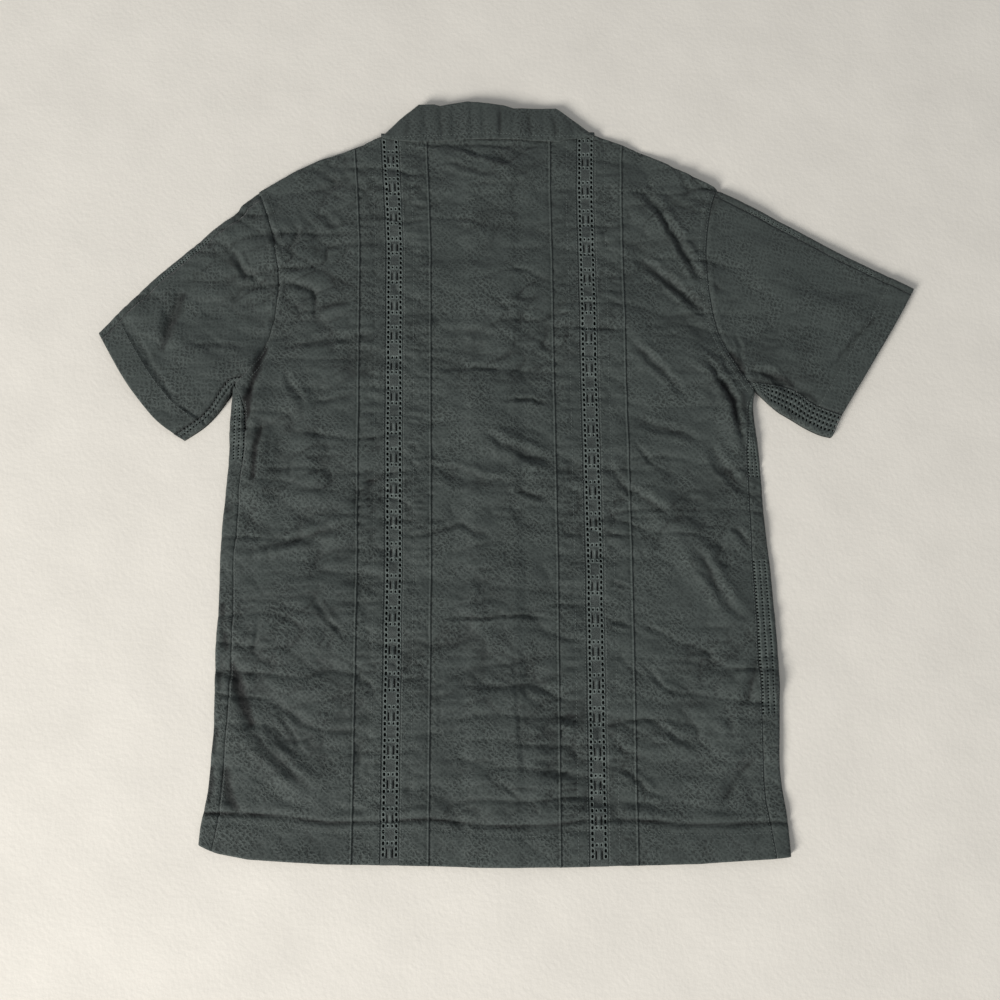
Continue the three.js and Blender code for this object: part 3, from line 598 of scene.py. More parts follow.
def crease_lift(x, y):
    """Height of the creases: each a narrow trough between two low ridges, or the other way up."""
    lift = np.zeros(np.shape(x))
    x, y = wandered(x, y)
    for crease in CREASES:
        distance, place = near_line(rounded(crease["path"], 2), x, y)
        ratio = distance / (0.7 * crease["width"])
        profile = np.exp(-(ratio**1.6)) - RIDGE_SHARE * bell(ratio - 2.3, 0.9)
        lift += crease["height"] * profile * tapered(place)
    return lift


def sleeve_distances(side, x, y):
    """Distances of points to a sleeve's cuff, to the seam along its top and to the one under the arm."""
    top_seam = beside(rounded(SLEEVE_TOP[side]), -side * SLEEVE_WRAP)[2:]
    lines = (rounded(CUFF[side]), top_seam, rounded(UNDERARM_SEAM[side]))
    return [distance_to(line, x, y) for line in lines]


def seam_relief(x, y):
    """Dips along the sewn seams, the felled edge inside the armholes, and the turned hem and cuffs."""
    c = cloth_c(x, y)
    relief = -0.25 * bell(off_band(c, BAND_HALF), 1.4)
    relief -= 0.25 * bell(off_band(c, FAINT_OFFSET), 1.3)
    inside_body = soft_step(90, 70, y)
    for side in (-1, 1):
        armhole = distance_to(rounded(ARMHOLE[side]), x, y)
        relief -= 0.8 * bell(armhole, 1.6)
        relief += 0.5 * bell(armhole - 4.5, 2.4)
        cuff, top_seam, low_seam = sleeve_distances(side, x, y)
        relief += 0.9 * (1 - soft_step(CUFF_DEPTH - 1, CUFF_DEPTH + 2, cuff))
        relief -= 0.9 * bell(cuff - CUFF_DEPTH - 0.5, 1.6)
        relief -= 0.7 * bell(top_seam, 1.4)
        relief -= 0.8 * bell(low_seam, 1.5)
        side_seam = np.interp(y, BODY_SIDES["y"], BODY_SIDES["seam_" + SIDE_NAME[side]])
        relief -= 0.7 * inside_body * bell(x - side_seam, 1.5)
    above_hem = y - hem_crease_y(x)
    relief -= 1.9 * bell(above_hem, 2.0)
    relief += 1.3 * bell(above_hem - 7, 5)
    relief += 0.6 * soft_step(1, -2, above_hem)
    relief -= 0.4 * bell(above_hem + HEM_STITCH_DROP, 1.4)
    return relief


def calm_near_edges(x, y):
    """Crumple is weaker at the hem and the cuffs, where the cloth is double, and on the right sleeve."""
    calm = soft_step(-366, -330, y) * 0.6 + 0.4
    for side in (-1, 1):
        calm = calm * (0.45 + 0.55 * soft_step(10, CUFF_DEPTH + 12, distance_to(CUFF[side], x, y)))
    right_sleeve = soft_step(*RIGHT_SLEEVE_FROM_X, x) * soft_step(*RIGHT_SLEEVE_FROM_Y, y)
    return calm * (1 - 0.5 * right_sleeve)


def upper_height(x, y):
    """Height of the outer face of the upper layer: back, sleeves and the strips folded on to them."""
    cloth = bpy.context.scene.shirt_cloth
    c = cloth_c(x, y)
    level = LEVEL + front_lift(c, y, BUTTON_FADE_ABOVE) + lap_lift(np.abs(c), y)
    small = sum(crumple(x, y, kind) for kind in CRUMPLE[1:]) * (1 + crumple(x, y, PATCHINESS))
    small = small + crumple(x, y, PUCKER) * bell(off_band(c, PUCKER_OFFSET), 15)
    in_hem = soft_step(*HEM_FADE_IN, y) * soft_step(*HEM_FADE_OUT, y)
    small = small + crumple(x, y, HEM_PUCKER) * in_hem
    wavy = crumple(x, y, CRUMPLE[0]) + small * calm_near_edges(x, y) * cloth.crumple
    shape = fold_lift(x, y) * FOLD_STRENGTH + crease_lift(x, y) * CREASE_STRENGTH
    for dip in DARK_DIPS:
        shape = shape - dip["depth"] * bell(distance_to(dip["path"], x, y), dip["width"])
    lowest = level + cloth.thickness / MM
    raised = cloth.loft / MM + wavy + shape + seam_relief(x, y)
    # A soft floor keeps troughs clear of the layer below.
    return lowest + 0.5 * (raised + np.sqrt(raised**2 + 0.6))


def lower_height(c, x, y, lapped):
    """Height of the outer face of the fronts and the sleeves' front halves. It lies on the floor apart
    from small waves and the armpits, where the cloth turns sharply."""
    lift = front_lift(c, y)
    for side in (-1, 1):
        armpit = ARMHOLE[side][-1]
        lift = lift + ARMPIT_LIFT * soft_step(*ARMPIT_REACH, np.hypot(x - armpit[0], y - armpit[1]))
    if lapped:
        lift = lift + lap_lift(np.maximum(0, c), y)
    waves = np.maximum(0, crumple(x, y, CRUMPLE[2]) * 0.4 + crumple(x, y, CRUMPLE[3]) * 0.4)
    return lift + np.minimum(waves, HIDDEN_WAVE)


# Meshes


def new_object(name, data):
    made = bpy.data.objects.new(name, data)
    bpy.context.scene.collection.objects.link(made)
    return made


def mesh_of(form, name):
    """The mesh of a bmesh that is then no longer needed."""
    mesh = bpy.data.meshes.new(name)
    form.to_mesh(mesh)
    form.free()
    return mesh


def grid_mesh(points, uv, flip=False, **marks):
    """Mesh of a grid of points, which keeps each point's place on the flat cloth as its UV.
    marks are further values of each point, kept under their names; every grid keeps two of them: how much
    painted shade darkens a point in its crease, and how much a painted highlight lightens it."""
    rows, columns = points.shape[:2]
    grid = bmesh.new()
    bmesh.ops.create_grid(grid, x_segments=columns - 1, y_segments=rows - 1, size=0.5)
    if flip:
        bmesh.ops.reverse_faces(grid, faces=grid.faces)
    mesh = mesh_of(grid, "grid")
    place = np.empty(len(mesh.vertices) * 3)
    mesh.vertices.foreach_get("co", place)
    place = place.reshape(-1, 3)
    column = np.rint((place[:, 0] + 0.5) * (columns - 1)).astype(int)
    row = np.rint((place[:, 1] + 0.5) * (rows - 1)).astype(int)
    mesh.vertices.foreach_set("co", (points[row, column] * MM).ravel())
    layer = mesh.uv_layers.new(name=CLOTH_UV)
    corner = np.empty(len(mesh.loops), int)
    mesh.loops.foreach_get("vertex_index", corner)
    layer.data.foreach_set("uv", (uv[row, column][corner] * MM).ravel())
    for name in ("crease", "rim"):
        kept = mesh.attributes.new(name, "FLOAT", "POINT")
        values = marks.get(name, np.zeros((rows, columns)))
        kept.data.foreach_set("value", values[row, column])
    return mesh


def joined_mesh(name, meshes):
    """One mesh from several, with the points that meet merged."""
    whole = bmesh.new()
    for mesh in meshes:
        whole.from_mesh(mesh)
        bpy.data.meshes.remove(mesh)
    bmesh.ops.remove_doubles(whole, verts=whole.verts, dist=MERGE_DISTANCE * MM)
    joined = mesh_of(whole, name)
    joined.polygons.foreach_set("use_smooth", [True] * len(joined.polygons))
    return joined


def thicken(piece, thickness):
    """Gives a sheet its wall, inward from its outer face."""
    wall = piece.modifiers.new("Wall", "SOLIDIFY")
    wall.thickness = thickness
    wall.offset = -1
    wall.use_even_offset = False
    wall.use_rim = True
    wall.material_offset = 1


def finish_cloth(node, meshes, flat, area, material=None, thickness=None):
    """Makes the cloth of a node, rides it on the shirt and hides the node's own part."""
    name = node + "_cloth"
    piece = new_object(name, joined_mesh(name, meshes))
    piece.data.materials.append(material or cotton_material())
    # Inner faces and cut edges take the cloth at 0.3 of its colour: painted shade for the faces that lie
    # underneath.
    piece.data.materials.append(cotton_material("Slate Cotton Inside Shaded", tone=0.3))
    thicken(piece, thickness or bpy.context.scene.shirt_cloth.thickness)
    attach(piece, "root")
    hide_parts(node)
    min(area, flat[0] * flat[1]) * MM * MM


def flat_area(points):
    """Area of a grid of points in square millimetres."""
    across = points[:-1, 1:] - points[:-1, :-1]
    along = points[1:, :-1] - points[:-1, :-1]
    return float(np.linalg.norm(np.cross(across, along), axis=-1).sum())


def with_height(flat_points, height):
    return np.concatenate([flat_points, height[..., None]], -1)


def turned(flat_points, degrees):
    """Cloth coordinates turned to the grain."""
    turn = math.radians(degrees)
    x, y = flat_points[..., 0], flat_points[..., 1]
    along_x = x * math.cos(turn) + y * math.sin(turn)
    return np.stack([along_x, y * math.cos(turn) - x * math.sin(turn)], -1)


def upper_grid(flat_points, grain=0):
    """Points, cloth coordinates and shadow of a patch of the upper layer. grain is its turn in degrees."""
    x, y = flat_points[..., 0], flat_points[..., 1]
    points = with_height(flat_points, upper_height(x, y))
    return points, turned(flat_points, grain), hidden_light(x, y)


# Materials


THREAD_PITCH = 0.0009
LACE_DIAMOND_PITCH = 0.0024


def new_group(name, inputs, outputs):
    """An empty node group with named sockets, each a float with its default or a vector without one."""
    group = bpy.data.node_groups.new(name, "ShaderNodeTree")
    for way, sockets in (("INPUT", inputs), ("OUTPUT", outputs)):
        for socket_name, default in sockets.items():
            kind = "NodeSocketVector" if default is None else "NodeSocketFloat"
            made = group.interface.new_socket(name=socket_name, in_out=way, socket_type=kind)
            if default is not None:
                made.default_value = default
    return group, group.nodes.new("NodeGroupInput").outputs, group.nodes.new("NodeGroupOutput").inputs


def linked(tree, kind, inputs=None, **settings):
    """A new node with its settings, and its inputs given as values or as sockets to link from."""
    node = tree.nodes.new(kind)
    for name, value in settings.items():
        setattr(node, name, value)
    for name, value in (inputs or {}).items():
        target = node.inputs[name]
        if isinstance(value, bpy.types.NodeSocket):
            tree.links.new(value, target)
        else:
            target.default_value = value
    return node


def maths(tree, operation, a, b=0.0, c=0.0):
    return linked(tree, "ShaderNodeMath", {0: a, 1: b, 2: c}, operation=operation).outputs[0]


def vector_maths(tree, operation, inputs):
    return linked(tree, "ShaderNodeVectorMath", inputs, operation=operation).outputs[0]


def clouds(tree, place, scale, detail, **more):
    """Uneven noise; more holds further inputs by name."""
    inputs = {"Vector": place, "Scale": scale, "Detail": detail, **more}
    return linked(tree, "ShaderNodeTexNoise", inputs).outputs


def ranged(tree, value, from_min=0.0, from_max=1.0, to_min=0.0, to_max=1.0, **settings):
    """The value brought from one range to another."""
    inputs = {"Value": value, "From Min": from_min, "From Max": from_max, "To Min": to_min, "To Max": to_max}
    return linked(tree, "ShaderNodeMapRange", inputs, **settings).outputs[0]


def mixed(tree, factor, first, second, **settings):
    """A colour from first to second as the factor goes from 0 to 1."""
    inputs = {"Factor": factor, 6: first, 7: second}
    return linked(tree, "ShaderNodeMix", inputs, data_type="RGBA", **settings).outputs[2]


def bump(tree, strength, distance, height):
    inputs = {"Strength": strength, "Distance": distance, "Height": height}
    return linked(tree, "ShaderNodeBump", inputs).outputs[0]


def object_place(tree):
    return tree.nodes.new("ShaderNodeTexCoord").outputs["Object"]


def mark_of(tree, name):
    """Value of one of the marks that the cloth's mesh carries."""
    return linked(tree, "ShaderNodeAttribute", attribute_name=name).outputs["Fac"]


def weave_group():
    """Dobby cotton: small broken diamonds of slub thread on a fine plain weave."""
    name = "Dobby Weave"
    if name in bpy.data.node_groups:
        return bpy.data.node_groups[name]
    group, given, result = new_group(
        name, {"Cloth": None, "Diamond Pitch": 0.0062, "Breaks": 0.6}, {"Slub": 0.0, "Height": 0.0}
    )
    wander = clouds(group, given["Cloth"], 120.0, 2.0)["Color"]
    shift = vector_maths(group, "SUBTRACT", {0: wander, 1: (0.5, 0.5, 0.5)})
    pushed = vector_maths(group, "SCALE", {0: shift, "Scale": 0.011})
    place = vector_maths(group, "ADD", {0: given["Cloth"], 1: pushed})
    parts = linked(group, "ShaderNodeSeparateXYZ", {0: place}).outputs
    turn = maths(group, "DIVIDE", 2 * math.pi, given["Diamond Pitch"])
    across = maths(group, "MULTIPLY", parts[0], turn)
    along = maths(group, "MULTIPLY", parts[1], turn)
    first = maths(group, "SINE", maths(group, "ADD", across, along))
    second = maths(group, "SINE", maths(group, "SUBTRACT", across, along))
    diamond = maths(group, "MAXIMUM", first, second)
    stretched = linked(group, "ShaderNodeMapping", {"Vector": given["Cloth"], "Scale": (1.0, 1.5, 1.0)})
    breaks = clouds(group, stretched.outputs[0], 330.0, 3.0, Roughness=0.6)[0]
    uneven = maths(group, "MULTIPLY", maths(group, "SUBTRACT", breaks, 0.5), 5.0)
    both = maths(group, "MULTIPLY_ADD", uneven, given["Breaks"], maths(group, "MULTIPLY", diamond, 0.6))
    slub = ranged(group, both, -0.7, 1.1, interpolation_type="SMOOTHSTEP")
    thread_turn = 2 * math.pi / THREAD_PITCH
    warp = maths(group, "SINE", maths(group, "MULTIPLY", parts[0], thread_turn))
    weft = maths(group, "SINE", maths(group, "MULTIPLY", parts[1], thread_turn))
    threads = maths(group, "MULTIPLY", warp, weft)
    group.links.new(slub, result["Slub"])
    group.links.new(maths(group, "MULTIPLY_ADD", threads, 0.12, slub), result["Height"])
    return group


def fading_group():
    """Slow unevenness of the dye: a mask that wanders over the cloth."""
    name = "Dye Fading"
    if name in bpy.data.node_groups:
        return bpy.data.node_groups[name]
    group, given, result = new_group(name, {"Place": None}, {"Fading": 0.0})
    broad = clouds(group, given["Place"], 9.0, 3.0)[0]
    close = clouds(group, given["Place"], 60.0, 2.0)[0]
    total = maths(group, "MULTIPLY_ADD", close, 0.45, maths(group, "MULTIPLY", broad, 0.75))
    group.links.new(ranged(group, total, 0.35, 0.85), result["Fading"])
    return group


def new_material(name):
    material = bpy.data.materials.new(name)
    material.use_nodes = True
    tree = material.node_tree
    shader = tree.nodes["Principled BSDF"]
    return material, tree, shader


def shade(colour, factor):
    return (colour[0] * factor, colour[1] * factor, colour[2] * factor, 1.0)


def woven(tree):
    """Node of the weave, laid on the cloth's own coordinates."""
    place = linked(tree, "ShaderNodeUVMap", uv_map=CLOTH_UV).outputs[0]
    return linked(tree, "ShaderNodeGroup", {"Cloth": place}, node_tree=weave_group())


def cotton_material(name="Slate Cotton", tone=1.0):
    """Washed slate cotton with its dobby weave, with painted shade that darkens it in the creases and a
    painted highlight on the tuck tops and eyelet rims. A low tone darkens the whole colour, as painted shade
    for the inner faces.
    """
    if name in bpy.data.materials:
        return bpy.data.materials[name]
    colour = tuple(bpy.context.scene.shirt_cloth.colour)
    material, tree, shader = new_material(name)
    weave = woven(tree).outputs
    place = object_place(tree)
    fading = linked(tree, "ShaderNodeGroup", {"Place": place}, node_tree=fading_group()).outputs["Fading"]
    clear = ranged(tree, clouds(tree, place, 38.0, 2.0)[0], 0.4, 0.64, to_min=0.35)
    faded = maths(tree, "MULTIPLY_ADD", maths(tree, "SUBTRACT", weave["Slub"], 0.5), clear, 0.5)
    threads = mixed(tree, faded, shade(colour, 0.55 * tone), shade(colour, 1.45 * tone))
    worn = mixed(tree, fading, (0.86, 0.87, 0.87, 1.0), (1.14, 1.13, 1.12, 1.0))
    dyed = mixed(tree, 1.0, threads, worn, blend_type="MULTIPLY")
    # Painted shade: the colour falls toward almost black as the crease mark rises.
    shaded = mixed(tree, mark_of(tree, "crease"), dyed, shade(colour, 0.04 * tone))
    # Painted highlight: the colour rises toward 2.4 times the cloth's where the highlight mark is set.
    lit = maths(tree, "MULTIPLY", mark_of(tree, "rim"), 0.5)
    rough = ranged(tree, weave["Slub"], to_min=0.86, to_max=0.68)
    tree.links.new(mixed(tree, lit, shaded, shade(colour, 2.4)), shader.inputs["Base Color"])
    tree.links.new(rough, shader.inputs["Roughness"])
    tree.links.new(bump(tree, clear, 0.00055, weave["Height"]), shader.inputs["Normal"])
    shader.inputs["Specular IOR Level"].default_value = 0.35
    shader.inputs["Sheen Weight"].default_value = 0.12
    shader.inputs["Sheen Roughness"].default_value = 0.45
    return material


def lace_material():
    """Openwork cotton: matte cloth with a painted highlight on the raised thread round the holes."""
    name = "Slate Openwork"
    if name in bpy.data.materials:
        return bpy.data.materials[name]
    colour = tuple(bpy.context.scene.shirt_cloth.colour)
    material, tree, shader = new_material(name)
    weave = woven(tree)
    weave.inputs["Diamond Pitch"].default_value = LACE_DIAMOND_PITCH
    body = mixed(tree, weave.outputs["Slub"], shade(colour, 0.6), shade(colour, 1.15))
    # Painted highlight: the colour lightens toward three times the cloth's where the highlight mark is set,
    # round the holes and along the bars.
    lit = maths(tree, "MULTIPLY", mark_of(tree, "rim"), 0.95)
    tree.links.new(mixed(tree, lit, body, shade(colour, 3.2)), shader.inputs["Base Color"])
    tree.links.new(bump(tree, 0.9, 0.0003, weave.outputs["Height"]), shader.inputs["Normal"])
    shader.inputs["Roughness"].default_value = 0.8
    shader.inputs["Sheen Weight"].default_value = 0.1
    return material


def thread_material():
    """Sewing thread, a little lighter and shinier than the cloth."""
    name = "Slate Thread"
    if name in bpy.data.materials:
        return bpy.data.materials[name]
    colour = tuple(bpy.context.scene.shirt_cloth.thread_colour)
    material, tree, shader = new_material(name)
    inputs = {"Vector": object_place(tree), "Scale": 900.0, "Distortion": 1.5}
    twist = linked(tree, "ShaderNodeTexWave", inputs, bands_direction="DIAGONAL").outputs["Fac"]
    twisted = mixed(tree, twist, shade(colour, 0.8), shade(colour, 1.2))
    tree.links.new(twisted, shader.inputs["Base Color"])
    tree.links.new(bump(tree, 0.4, 0.0001, twist), shader.inputs["Normal"])
    shader.inputs["Roughness"].default_value = 0.55
    return material


# Back


FAR_FROM_BANDS = 500.0


def tuck_lift(c):
    """Narrow raised tucks beside the bands, pressed toward the band."""
    side = np.abs(np.abs(c) - BAND_C) - TUCK_OFFSET
    return 1.1 * bell(side, 0.55) - 0.3 * bell(np.abs(side) - 1.6, 0.8)


def tuck_shade(c):
    """Shadow in the dip on the right of each tuck."""
    right = np.min([np.abs(c - tuck - 1.1) for tuck in TUCKS], axis=0)
    return 0.6 * bell(right, 0.5)


def tuck_light(c):
    """Painted highlight along the top of each tuck."""
    top = np.min([np.abs(c - tuck) for tuck in TUCKS], axis=0)
    return 0.35 * bell(top, 0.6)


def tuck_columns(spacing, start, end):
    """Column distances from start to end, even but closer at the tucks."""
    count = max(1, round((end - start) / spacing))
    columns = list(np.linspace(start, end, count + 1))
    for tuck in TUCKS:
        if start < tuck < end:
            columns = [c for c in columns if abs(c - tuck) > 2.4]
            columns += [tuck + step for step in TUCK_STEPS]
    return np.array(sorted(columns))


def back_neck_y(c):
    return NECK_BACK_Y + (NECK_SIDE_Y - NECK_BACK_Y) * (c / NECK_HALF_WIDTH) ** 2 + c * COLLAR_TILT


def shoulder_line(side):
    """From the neck point down to the armhole."""
    c = side * NECK_HALF_WIDTH
    neck_point = line_at(c, NECK_SIDE_Y + c * COLLAR_TILT)
    return rounded(np.concatenate([neck_point[None], np.array(SHOULDER[side], float)]))


def shoulder_y(x, side):
    line = shoulder_line(side)
    order = np.argsort(line[:, 0])
    return np.interp(x, line[order, 0], line[order, 1])


def top_y(c):
    """Upper end of the back at distance c: neckline in the middle, shoulders outside it."""
    neck = back_neck_y(c)
    left, right = (shoulder_y(middle_x(TOP_Y) + c, side) - SHOULDER_WRAP for side in (-1, 1))
    return np.where(c < -NECK_HALF_WIDTH, left, np.where(c > NECK_HALF_WIDTH, right, neck))


def hem_end(c):
    """Lower end of the body at distance c."""
    return hem_y(middle_x(HEM_Y) + c)


def strip_points(columns, rows):
    """Points of a part of the back whose columns follow the middle line."""
    c = columns[None, :] * np.ones((rows + 1, 1))
    share = np.linspace(0, 1, rows + 1)[:, None]
    low = hem_end(columns)[None, :]
    high = top_y(columns)[None, :]
    y = low + (high - low) * share
    return seam_at(c, y), c


def back_mesh(flat, c):
    """Mesh of a part of the back with its tucks, and its area."""
    points, uv, crease = upper_grid(flat)
    points[..., 2] += tuck_lift(c)
    mesh = grid_mesh(points, uv, crease=np.maximum(crease, tuck_shade(c)), rim=tuck_light(c))
    return mesh, flat_area(points)


def build_back_centre():
    """Middle panel of the back, between the bands."""
    spacing = bpy.context.scene.shirt_cloth.spacing / MM
    inner = BAND_C - BAND_HALF
    columns = tuck_columns(spacing, -inner, inner)
    mesh, area = back_mesh(*strip_points(columns, round(BACK_LENGTH / spacing)))
    finish_cloth("back_centre", [mesh], FLAT_SIZE["back_centre"], area)


def side_line(column):
    return np.stack([np.array(BODY_SIDES[column], float), np.array(BODY_SIDES["y"], float)], -1)


def build_back_side(side):
    """Side panel of the back, from the band to the side seam and the armhole."""
    spacing = bpy.context.scene.shirt_cloth.spacing / MM
    left = side < 0
    band_c = side * (BAND_C + BAND_HALF)
    split_c = side * (BAND_C + TUCK_OFFSET + 5)
    seam = side_line("seam_" + SIDE_NAME[side])
    seam[0, 1] = hem_y(seam[0, 0])
    armhole = np.array(ARMHOLE[side], float)[::-1]
    side_edge = rounded(np.concatenate([seam, armhole]))
    rows = round(length_of(side_edge) / spacing)
    near = tuck_columns(spacing, *sorted((band_c, split_c)))
    near_flat, near_c = strip_points(near, rows)
    split = near_flat[:, 0] if left else near_flat[:, -1]
    shoulder = beside(shoulder_line(side), side * -SHOULDER_WRAP)
    shoulder = shoulder[side * (shoulder[:, 0] - split[-1, 0]) > 1]
    high = np.concatenate([split[-1:], shoulder])
    hem_x = np.linspace(seam[0, 0], split[0, 0], 40)
    low = np.stack([hem_x, hem_y(hem_x)], -1)
    columns = round(abs(seam[5, 0] - split[100, 0]) / spacing)
    edge = spaced(side_edge, rows)
    # Away from the tucks c only has to be far from every band.
    if left:
        far = patch(spaced(low, columns), spaced(high[::-1], columns), edge, split)
        flat = np.concatenate([far, near_flat[:, 1:]], 1)
        c = np.concatenate([np.full(far.shape[:2], FAR_FROM_BANDS), near_c[:, 1:]], 1)
    else:
        far = patch(spaced(low[::-1], columns), spaced(high, columns), split, edge)
        flat = np.concatenate([near_flat[:, :-1], far], 1)
        c = np.concatenate([near_c[:, :-1], np.full(far.shape[:2], FAR_FROM_BANDS)], 1)
    mesh, area = back_mesh(flat, c)
    name = SIDE_NAME[side]
    finish_cloth("back_" + name, [mesh], FLAT_SIZE["back_side"], area)


# Lace bands


# Lines across the band, by distance from its middle. A hole takes the two columns that start at its number,
# and its sizes are half its width and half its height.
LACE_ACROSS = (
    -8.75, -8.1, -7.5, -6.2, -4.9, -4.1, -3.3, -2.2, -1.2, 0, 1.2, 2.2, 3.3, 4.1, 4.9, 6.2, 7.5, 8.1, 8.75,
)
LACE_PITCH = 5.27
LACE_ROWS = (-1.6, 0, 1.6, 2.635)
OUTER_HOLES = (2, 14)
OUTER_HOLE_SIZE = (1.65, 2.0)
INNER_HOLES = (6, 10)
INNER_HOLE_SIZE = (1.15, 1.35)
SLIT_COLUMNS = (6, 11)
RIM_LIFT = 0.5
BAR_LIFT = 0.55
PITCHES_A_CELL = 3


def lace_rows(low, high):
    """Heights of the lines along the band, four to a pitch, and the number of pitches."""
    count = int((high - low) // LACE_PITCH)
    start = low + (high - low - count * LACE_PITCH) / 2 + LACE_PITCH / 2
    rows = [start + k * LACE_PITCH + step for k in range(count) for step in LACE_ROWS]
    rows[0] = low
    rows.append(high)
    return np.array(rows), count


def open_hole(band, row, column, half_width, half_height):
    """Cuts a rounded hole into the band, with a raised rim that carries a painted highlight."""
    middle_c = band["c"][row, column + 1]
    middle_y = band["y"][row, column + 1]
    band["removed"][row - 1 : row + 1, column : column + 2] = True
    for i in (-1, 0, 1):
        for j in (-1, 0, 1):
            if i == 0 and j == 0:
                continue
            point = (row + j, column + 1 + i)
            round_off = 0.8 if i and j else 1.0
            band["c"][point] = middle_c + i * half_width * round_off
            band["y"][point] = middle_y + j * half_height * round_off
            band["rim"][point] = 1.0
            band["raised"][point] = RIM_LIFT


def raise_bar(band, row, first):
    """Raises the bar in the middle of one pitch and cuts the slits beside it; it runs through two pitches."""
    bar_rows = slice(row - 2, row + 3) if first else slice(row - 1, row + 1)
    slit_rows = slice(row - 2, row + 2) if first else slice(row - 2, row)
    band["raised"][bar_rows, 8:11] = BAR_LIFT
    # A painted highlight runs down the middle of the bar.
    band["rim"][bar_rows, 9] = 0.5
    for column in SLIT_COLUMNS:
        band["removed"][slit_rows, column] = True


def build_lace_band(side):
    """Openwork band: two columns of holes, rows of four between cells, a raised bar in every other cell."""
    centre = side * BAND_C
    low = float(hem_end(centre))
    high = float(top_y(np.array([centre]))[0])
    rows, count = lace_rows(low, high)
    shape = (len(rows), len(LACE_ACROSS))
    band = {
        "c": centre + np.array(LACE_ACROSS)[None, :] * np.ones((len(rows), 1)),
        "y": rows[:, None] * np.ones((1, len(LACE_ACROSS))),
        "rim": np.zeros(shape),
        "raised": np.zeros(shape),
        "removed": np.zeros((shape[0] - 1, shape[1] - 1), bool),
    }
    # The first pitch stays closed, because only the floor lies under it.
    for k in range(1, count):
        row = len(LACE_ROWS) * k + 1
        cell, step = divmod(k, PITCHES_A_CELL)
        for column in OUTER_HOLES:
            open_hole(band, row, column, *OUTER_HOLE_SIZE)
        if step == 0:
            for column in INNER_HOLES:
                open_hole(band, row, column, *INNER_HOLE_SIZE)
        elif cell % 2 == 0:
            raise_bar(band, row, first=step == 1)
    points, uv, crease = upper_grid(seam_at(band["c"], band["y"]))
    points[..., 2] += band["raised"]
    mesh = grid_mesh(points, uv, crease=crease * 0.6, rim=band["rim"])
    cut_holes(mesh, band["removed"])
    finish_cloth(
        "back_lace_" + SIDE_NAME[side],
        [mesh],
        (2 * BAND_HALF + LACE_ALLOWANCE, high - low),
        2 * BAND_HALF * (high - low) * LACE_SOLID_SHARE,
        lace_material(),
    )


def cut_holes(mesh, removed):
    """Takes out the faces of a grid that are marked as open."""
    grid = bmesh.new()
    grid.from_mesh(mesh)
    grid.faces.ensure_lookup_table()
    flags = removed.ravel()
    gone = [face for face in grid.faces if flags[face.index]]
    bmesh.ops.delete(grid, geom=gone, context="FACES")
    grid.to_mesh(mesh)
    grid.free()


# Folded strips and fronts


STRIP_TURN = 6
STRIP_TOP = 8
EYELET_STEP = 1.65
# Aimed length and pitch of an eyelet along its strip. Both are rounded to whole rows of the strip's grid,
# and an eyelet is as wide as its column there.
EYELET_SIZE = 2.3
EYELET_PITCH = 4.2
UNDERARM_STEPS = {-1: 4, 1: 9}


def folded_strip(edge, seam, low_height, top_steps=STRIP_TOP):
    """Points of cloth that comes along the bottom to an edge, folds round it and lies on top up to a seam.
    edge and seam have the same number of points; low_height gives the outer face at the edge."""
    inward = seam - edge
    width = np.linalg.norm(inward, axis=-1, keepdims=True)
    inward = inward / np.maximum(width, 0.01)
    high_height = upper_height(*(edge + inward * np.minimum(3.0, width)).T)
    middle = (high_height + low_height) / 2
    half = (high_height - low_height) / 2
    radius = np.minimum(half, width[:, 0] * 0.5)
    rows = []
    for angle in np.linspace(-math.pi / 2, math.pi / 2, STRIP_TURN + 1):
        flat = edge + inward * (radius * (1 - math.cos(angle)))[:, None]
        rows.append(with_height(flat, middle + half * math.sin(angle)))
    for share in np.linspace(0, 1, top_steps + 1)[1:]:
        flat = edge + inward * (radius + (width[:, 0] - radius) * share)[:, None]
        rows.append(with_height(flat, upper_height(flat[:, 0], flat[:, 1])))
    return np.stack(rows, 1)


def strip_uv(points):
    """Cloth coordinates of a strip: its length along the fold, and its width across it."""
    middle = points[:, points.shape[1] // 2]
    along = np.concatenate([[0], np.cumsum(np.linalg.norm(np.diff(middle, axis=0), axis=1))])
    steps = np.linalg.norm(np.diff(points, axis=1), axis=-1)
    across = np.concatenate([np.zeros((len(points), 1)), np.cumsum(steps, 1)], 1)
    return np.stack([across, np.broadcast_to(along[:, None], across.shape)], -1)


def rows_in_spans(values, spans):
    """Which rows of a strip lie in one of the spans."""
    inside = np.zeros(len(values), bool)
    for low, high in spans:
        inside |= (values > low) & (values < high)
    return inside


def strip_mesh(points, pierced, hole_columns, flip):
    """Mesh of a folded strip, with small four-sided eyelets in the pierced rows, a painted highlight round
    each eyelet and painted shade in its creases.
    """
    rows, columns = points.shape[:2]
    removed = np.zeros((rows - 1, columns - 1), bool)
    rim = np.zeros((rows, columns))
    step = length_of(points[:, -1]) / (rows - 1)
    tall = max(1, round(EYELET_SIZE / step))
    for row in range(1, rows - 1 - tall, max(tall + 1, round(EYELET_PITCH / step))):
        if not pierced[row]:
            continue
        for column in hole_columns:
            removed[row : row + tall, column] = True
            rim[row : row + tall + 1, column : column + 2] = 1.0
    crease = hidden_light(points[..., 0], points[..., 1])
    crease[:, : STRIP_TURN // 2] = 0
    mesh = grid_mesh(points, strip_uv(points), flip=flip, crease=crease, rim=rim)
    cut_holes(mesh, removed)
    return mesh


def front_neckline(side, end_c):
    angle = np.linspace(0, math.pi / 2, 17)
    c = side * NECK_HALF_WIDTH * np.cos(angle)
    y = NECK_SIDE_Y - (NECK_SIDE_Y - FRONT_NECK_Y) * np.sin(angle) + c * COLLAR_TILT
    kept = side * c > side * end_c + 1
    curve = line_at(c[kept], y[kept])
    return np.concatenate([curve, line_at(end_c, FRONT_NECK_Y)[None]])


